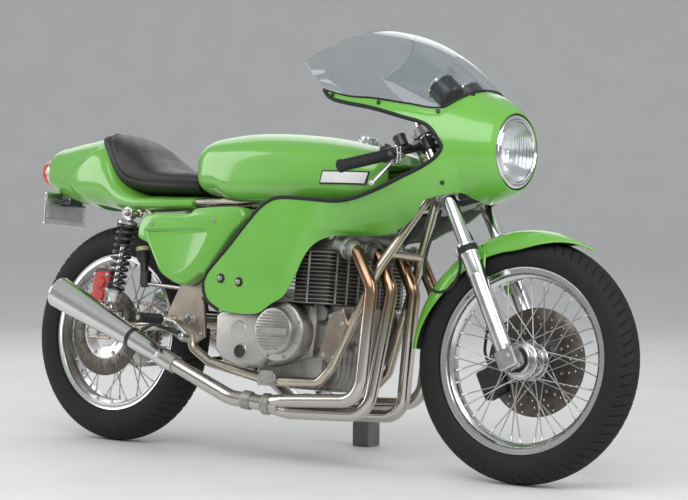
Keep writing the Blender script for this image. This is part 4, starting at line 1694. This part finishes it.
def make_silencers():
    m, dark, strap, bolts = Build(), Build(), Build(), Build()
    a, d = LINK_END, SIL_DIR
    n = (SIL_END - a).length
    prof = [(0, 24), (2, 26), (24, 26.5), (26, 25), (34, 24.6), (90, 27), (160, 30.6), (230, 34.6),
            (300, 38.8), (370, 43), (n - 66, 45.2), (n - 18, 46.4), (n - 8, 47.2), (n - 3, 47.6),
            (n - 0.6, 46.6), (n, 44.8), (n - 1.6, 43.4), (n - 8, 42.6), (n - 30, 41), (n - 34, 40)]
    m.lathe(prof, a, d, 96, caps=False)
    # Sleeve joint behind the link pipe
    m.lathe([(-30, 22.4), (-29, 26.4), (-2, 27.6), (30, 27.8), (32, 27.2), (33, 24.8)], a, d, 96, caps=False)
    dark.lathe([(n - 33, 41), (n - 60, 39), (n - 140, 30), (n - 150, 0.01)], a, d, 64, caps=False)
    # Perforated inner tube
    dark.lathe([(n - 20, 22), (n - 21, 24), (n - 120, 24)], a, d, 40, caps=False)
    # Strap with its lug up to the frame's plate
    r = 31.5
    strap.lathe([(143, r - 1.6), (143, r + 0.2), (155, r + 0.9), (155, r - 0.4)], a, d, 64, caps=False)
    up = vec(0, 0.55, 0.85).normalized()
    up = (up - d * up.dot(d)).normalized()
    strap.tube([a + d * 148 + up * 30, a + d * 130 + up * 70, (352, -150, 340), (352, -143, 340)], 6, 12,
               n=16)
    bolts.bolt(a + d * 148 + up * 33, up, 5, 5, 1.6)
    bolts.bolt((352, -147, 352), RIGHT, 6, 5, 2)
    m.mirrored().make("megaphones", MEGA, replaces="silencers", smooth=40)
    dark.mirrored().make("megaphone_cores", BLACK)
    strap.mirrored().make("megaphone_straps", BLACK)
    bolts.mirrored().make("megaphone_bolts", STEEL)


# ---------------------------------------------------------------- controls, brake, chain, stand


def make_footrests():
    b, peg, pedal = Build(), Build(), Build()
    b.rod((PEG_X, -292, PEG_Z), (PEG_X, -144, PEG_Z), 7.6, n=20)
    b.lathe([(0, 15), (4, 15), (10, 11), (34, 10.6), (38, 12)], (PEG_X, -144, PEG_Z), RIGHT, 28)
    prof = [(0, 12), (2, 15.4), (5, 15.8)]
    for t in range(7, 88, 6):
        prof += [(t, 15.2), (t + 1.4, 13.6), (t + 2.8, 13.6), (t + 4.2, 15.2)]
    prof += [(91, 15.8), (94, 15.6), (96, 12)]
    peg.lathe(prof, (PEG_X, -194, PEG_Z), RIGHT, 32)
    pedal.tube([(312, -160, PEG_Z), (345, -162, 372), (430, -186, 330), (430, -226, 330)], 6.6, 18, n=18)
    pedal.lathe([(0, 8), (2, 10), (32, 10), (34, 8)], (430, -196, 330), RIGHT, 24)
    pedal.rod((312, -152, PEG_Z), (312, -166, PEG_Z), 13, n=28, edge=1.5)
    b.mirrored().make("footrest_bars", POLISHED, replaces="footrests")
    peg.mirrored().make("footrest_pegs", RUBBER)
    pedal.mirrored().make("pedals", CHROME)


def make_rear_brake():
    red, black, steel, cast, cap = Build(), Build(), Build(), Build(), Build()
    red.box((-50, -106, 416), (22, -87, 512), 4)
    red.box((-50, -74, 416), (22, -58, 512), 4)
    red.box((-50, -104, 486), (22, -60, 512), 4)
    for z in (440, 478):
        red.lathe([(-2, 17), (3, 17), (5, 15), (5, 0.01)], (-14, -106, z), RIGHT, 32)
    black.box((-48, -98, 508), (20, -64, 520), 3)
    steel.rod((-8, -104, 340), (-8, -104, 424), 8, n=20)
    steel.bolts(((-40, 424), (12, 424), (12, 502), (-40, 502)), -106, 4.6, 4.6, 1.4)
    # Reservoir, master cylinder, and the rod with its ball ends
    cap.lathe([(0, 20), (2, 21.4), (10, 21.4), (12, 20)], (153, -111, 590), (7, 0, -42), 36)
    cast.lathe([(12, 19.4), (38, 19.4), (46, 14), (52, 8)], (153, -111, 590), (7, 0, -42), 36)
    cast.tube([(160, -111, 552), (168, -111, 508), (174, -111, 470)], 12.6, 10, n=28)
    cast.box((158, -124, 476), (188, -98, 520), 4)
    steel.tube([(172, -111, 480), (230, -113, 478), (364, -124.4, 470)], 6.4, 20, n=18)
    steel.lathe([(-9, 8), (-7, 11), (7, 11), (9, 8)], (364, -126, 470), LEFT, 28)
    steel.rod((356, -132, 470), (372, -120, 470), 5, n=14)
    red.make("rear_caliper_red", RED, replaces="rear_brake")
    black.make("rear_caliper_cap", BLACK)
    steel.make("rear_brake_links", STEEL)
    cast.make("rear_master_cylinder", BLACK)
    cap.make("rear_reservoir", YELLOWED)


def chain_path():
    """Loop round the rear sprocket and the output sprocket, as tangents and arcs."""
    big, small = vec(0, 0, WHEEL_R), OUTPUT
    big_r, small_r = 98.0, 44.0
    line = small - big
    slope, spread = atan2(line.z, line.x), acos((big_r - small_r) / line.length)
    start, end = slope + spread, slope + tau - spread

    def on(centre, r, a):
        return centre + vec(cos(a), 0, sin(a)) * r

    def run(p, q, k, n):
        return [p.lerp(q, i / k) for i in range(n)]

    pts = [on(big, big_r, lerp(start, end, k / 60)) for k in range(60)]
    pts += run(on(big, big_r, end), on(small, small_r, end), 40, 40)
    pts += [on(small, small_r, lerp(end, start + tau, k / 24)) for k in range(24)]
    return pts + run(on(small, small_r, start), on(big, big_r, start), 40, 41)


def spaced(pts, pitch):
    """Points along a closed path, an even number of equal steps of about the pitch apart."""
    sums = [0.0]
    for p, q in zip(pts, pts[1:]):
        sums.append(sums[-1] + (q - p).length)
    count = 2 * round(sums[-1] / pitch / 2)
    out, i = [], 0
    for k in range(count):
        s = k * sums[-1] / count
        while i < len(sums) - 2 and sums[i + 1] < s:
            i += 1
        out.append(pts[i].lerp(pts[i + 1], (s - sums[i]) / max(1e-6, sums[i + 1] - sums[i])))
    return out


def make_chain():
    """Links with rollers and two pairs of side plates, narrow and wide by turns."""
    b, dark = Build(), Build()
    pins = spaced(chain_path(), 15.875)
    for k, p in enumerate(pins):
        q = pins[(k + 1) % len(pins)]
        d = (q - p).normalized()
        w = vec(-d.z, 0, d.x)
        outline = []
        for c, turn in ((q, -90), (p, 90)):
            outline += [c + (d * cos(radians(turn + g)) + w * sin(radians(turn + g))) * 6.4
                        for g in range(0, 181, 36)]
        mid = (p + q) / 2
        outline.insert(6, mid + w * 4.6)
        outline.append(mid - w * 4.6)
        for ys in ((67.2, 68.8), (75.2, 76.8)) if k % 2 else ((68.9, 70.3), (73.7, 75.1)):
            b.rings([[vec(v.x, y, v.z) for v in outline] for y in ys])
        dark.rod((p.x, 67, p.z), (p.x, 77, p.z), 2.4, n=8)
        dark.rod((p.x, 70, p.z), (p.x, 74, p.z), 4.6, n=10)
    b.make("chain_links", STEEL, replaces="drive_chain", smooth=40)
    dark.make("chain_rollers", DISC, smooth=40)


def make_stand():
    foot = vec(668, 381, 124.5)
    piv = vec(650, 168, 202)
    d = (foot - piv).normalized()
    b = Build()
    b.lathe([(-13, 13), (-11.5, 15), (11.5, 15), (13, 13)], piv, d.cross(vec(0, 1, 0)).normalized(), 32)
    b.tube([piv, foot - d * 6], 10.5, n=24, radii=[11, 9])
    b.tube([foot + vec(-34, 0, 0), foot + vec(22, 0, 0), foot + vec(56, 0, 20)], 9.8, 26, n=22, steps=10)
    b.lathe([(-4, 13), (0, 11.6), (6, 9.4)], foot - d * 16, d, 28)
    b.make("stand_leg", CHROME, "side_stand", replaces="side_stand")
    s = Build().spiral(piv + vec(-16, 12, 6), piv + d * 110 + vec(-15, 0, 0), 5, 1.3, 22, n=6, per=12)
    s.make("stand_spring", STEEL, "side_stand")


def make_block():
    """The block stands square on the ground, so it is placed in the part's own frame."""
    b = Build().box((-68, 277.5, 0), (-8, 337.5, 74), 2.2)
    world = Matrix.Scale(0.001, 4)
    b.make("stand_block_painted", BLOCK, place=world, replaces="stand_block", smooth=20)


# ---------------------------------------------------------------- free hoses


def hose(name, points, r, material, body, place):
    """Free hose: a curve of one open spline, declared at its real length."""
    path = [place @ p for p in smooth_line(points, 12)]
    cu = bpy.data.curves.new(name, "CURVE")
    cu.dimensions = "3D"
    cu.bevel_depth = r / 1000
    cu.bevel_resolution = 3
    cu.use_fill_caps = True
    spline = cu.splines.new("POLY")
    spline.points.add(len(path) - 1)
    for p, q in zip(spline.points, path):
        p.co = (*q, 1)
    cu.materials.append(material)
    ob = link(name, cu)
    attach(ob, body)


def make_hoses():
    # Hose that hangs in a loop behind the right leg, from the lower yoke to the slider's band
    hose("fork_hose", [(12, -56, 824), (-20, -72, 776), (-62, -92, 716), (-86, -106, 656), (-66, -116, 598),
                       (-14, -118, 586), (26, -112, 622), (37, -108, 664)], 4.2, RUBBER, "steering", STEER)
    # Brake hose from the master cylinder round to the lower yoke
    end = BAR_IN + BAR_DIR * 22
    hose("brake_hose", [end + vec(14, 4, 0), end + vec(18, 38, 8), vec(76, -22, 988), vec(112, -6, 944),
                        vec(112, -4, 896), vec(88, -6, 852)], 3.6, RUBBER, "steering", STEER)
    unions = Build()
    for p, d in (((12, -56, 824), (-32, -16, -48)), ((37, -108, 664), (-11, 4, -42))):
        unions.lathe([(-10, 5.4), (-8, 6.4), (8, 6.4), (10, 5)], p, d, 6)
    unions.box((28, -112, 655), (42, -100, 668), 2)
    unions.make("hose_unions", STEEL, "steering")

# ---------------------------------------------------------------- camera, light, floor


def camera():
    cam = bpy.data.cameras.new("Camera")
    cam.sensor_width, cam.lens = 36, 112.48
    cam.clip_end = 60
    ob = link("Camera", cam)
    yaw, pitch, roll = radians(126.95), radians(-2.102), radians(0.545)
    fw = vec(cos(pitch) * cos(yaw), cos(pitch) * sin(yaw), sin(pitch))
    rt = fw.cross(vec(0, 0, 1)).normalized()
    up = rt.cross(fw)
    r2, u2 = rt * cos(roll) + up * sin(roll), up * cos(roll) - rt * sin(roll)
    m = Matrix((r2, u2, -fw)).transposed().to_4x4()
    m.translation = vec(3.8123, -4.9319, 0.8322)
    ob.matrix_world = m
    bpy.context.scene.camera = ob


def light(name, where, at, size, power):
    la = bpy.data.lights.new(name, "AREA")
    la.shape = "RECTANGLE"
    la.size, la.size_y = size
    la.energy = power
    ob = link(name, la)
    ob.location = where
    ob.rotation_euler = (Vector(at) - Vector(where)).to_track_quat("-Z", "Y").to_euler()


def studio():
    m = surface("studio_floor", (0.80, 0.80, 0.79), 0.60, grain=3, shade=0.03, bump=0.02, bump_scale=90)
    # A round floor that curves up into a wall all about, far behind any camera
    flat, bend, top = 15.0, 4.0, 9.0
    line = [(3.0, 0.0), (9.0, 0.0), (flat, 0.0)]
    line += [(flat + bend * sin(radians(a)), bend * (1 - cos(radians(a))))
             for a in range(6, 91, 6)] + [(flat + bend, top)]
    n = 96
    verts = [(r * c, r * s, z) for r, z in line for c, s in circle(n)]
    faces = [tuple(range(n))]
    for i in range(len(line) - 1):
        faces += [(i * n + k, (i + 1) * n + k, (i + 1) * n + (k + 1) % n, i * n + (k + 1) % n)
                  for k in range(n)]
    me = bpy.data.meshes.new("studio_floor")
    me.from_pydata(verts, [], faces)
    me.materials.append(m)
    me.polygons.foreach_set("use_smooth", [True] * len(me.polygons))
    link("studio_floor", me)
    world = bpy.data.worlds.new("World")
    bpy.context.scene.world = world
    world.use_nodes = True
    bg = world.node_tree.nodes["Background"]
    bg.inputs["Color"].default_value = (0.80, 0.82, 0.85, 1)
    bg.inputs["Strength"].default_value = 0.62
    light("Key", (1.6, -3.2, 3.6), (0, 0, 0.4), (4.6, 3.0), 120)
    light("Front", (4.0, 0.2, 2.2), (0.4, 0, 0.6), (1.6, 2.6), 46)
    light("Rim", (-2.6, 2.4, 3.0), (0, 0, 0.6), (4.5, 3.0), 40)
    light("Tail", (-3.4, -2.0, 1.6), (-0.4, 0, 0.5), (1.4, 2.2), 30)


for build in (make_fairing, make_screen, make_tank, make_tail, make_seat, make_panels, make_plate,
              make_front_wheel, make_rear_wheel, make_fork, make_bars, make_mudguard, make_front_caliper,
              make_headlight, make_instruments, make_frame, make_swingarm, make_shocks, make_engine,
              make_covers, make_carbs, make_exhaust, make_silencers, make_footrests, make_rear_brake,
              make_chain, make_stand, make_block, make_hoses, camera, studio):
    build()
bpy.context.scene.view_settings.view_transform = "Standard"
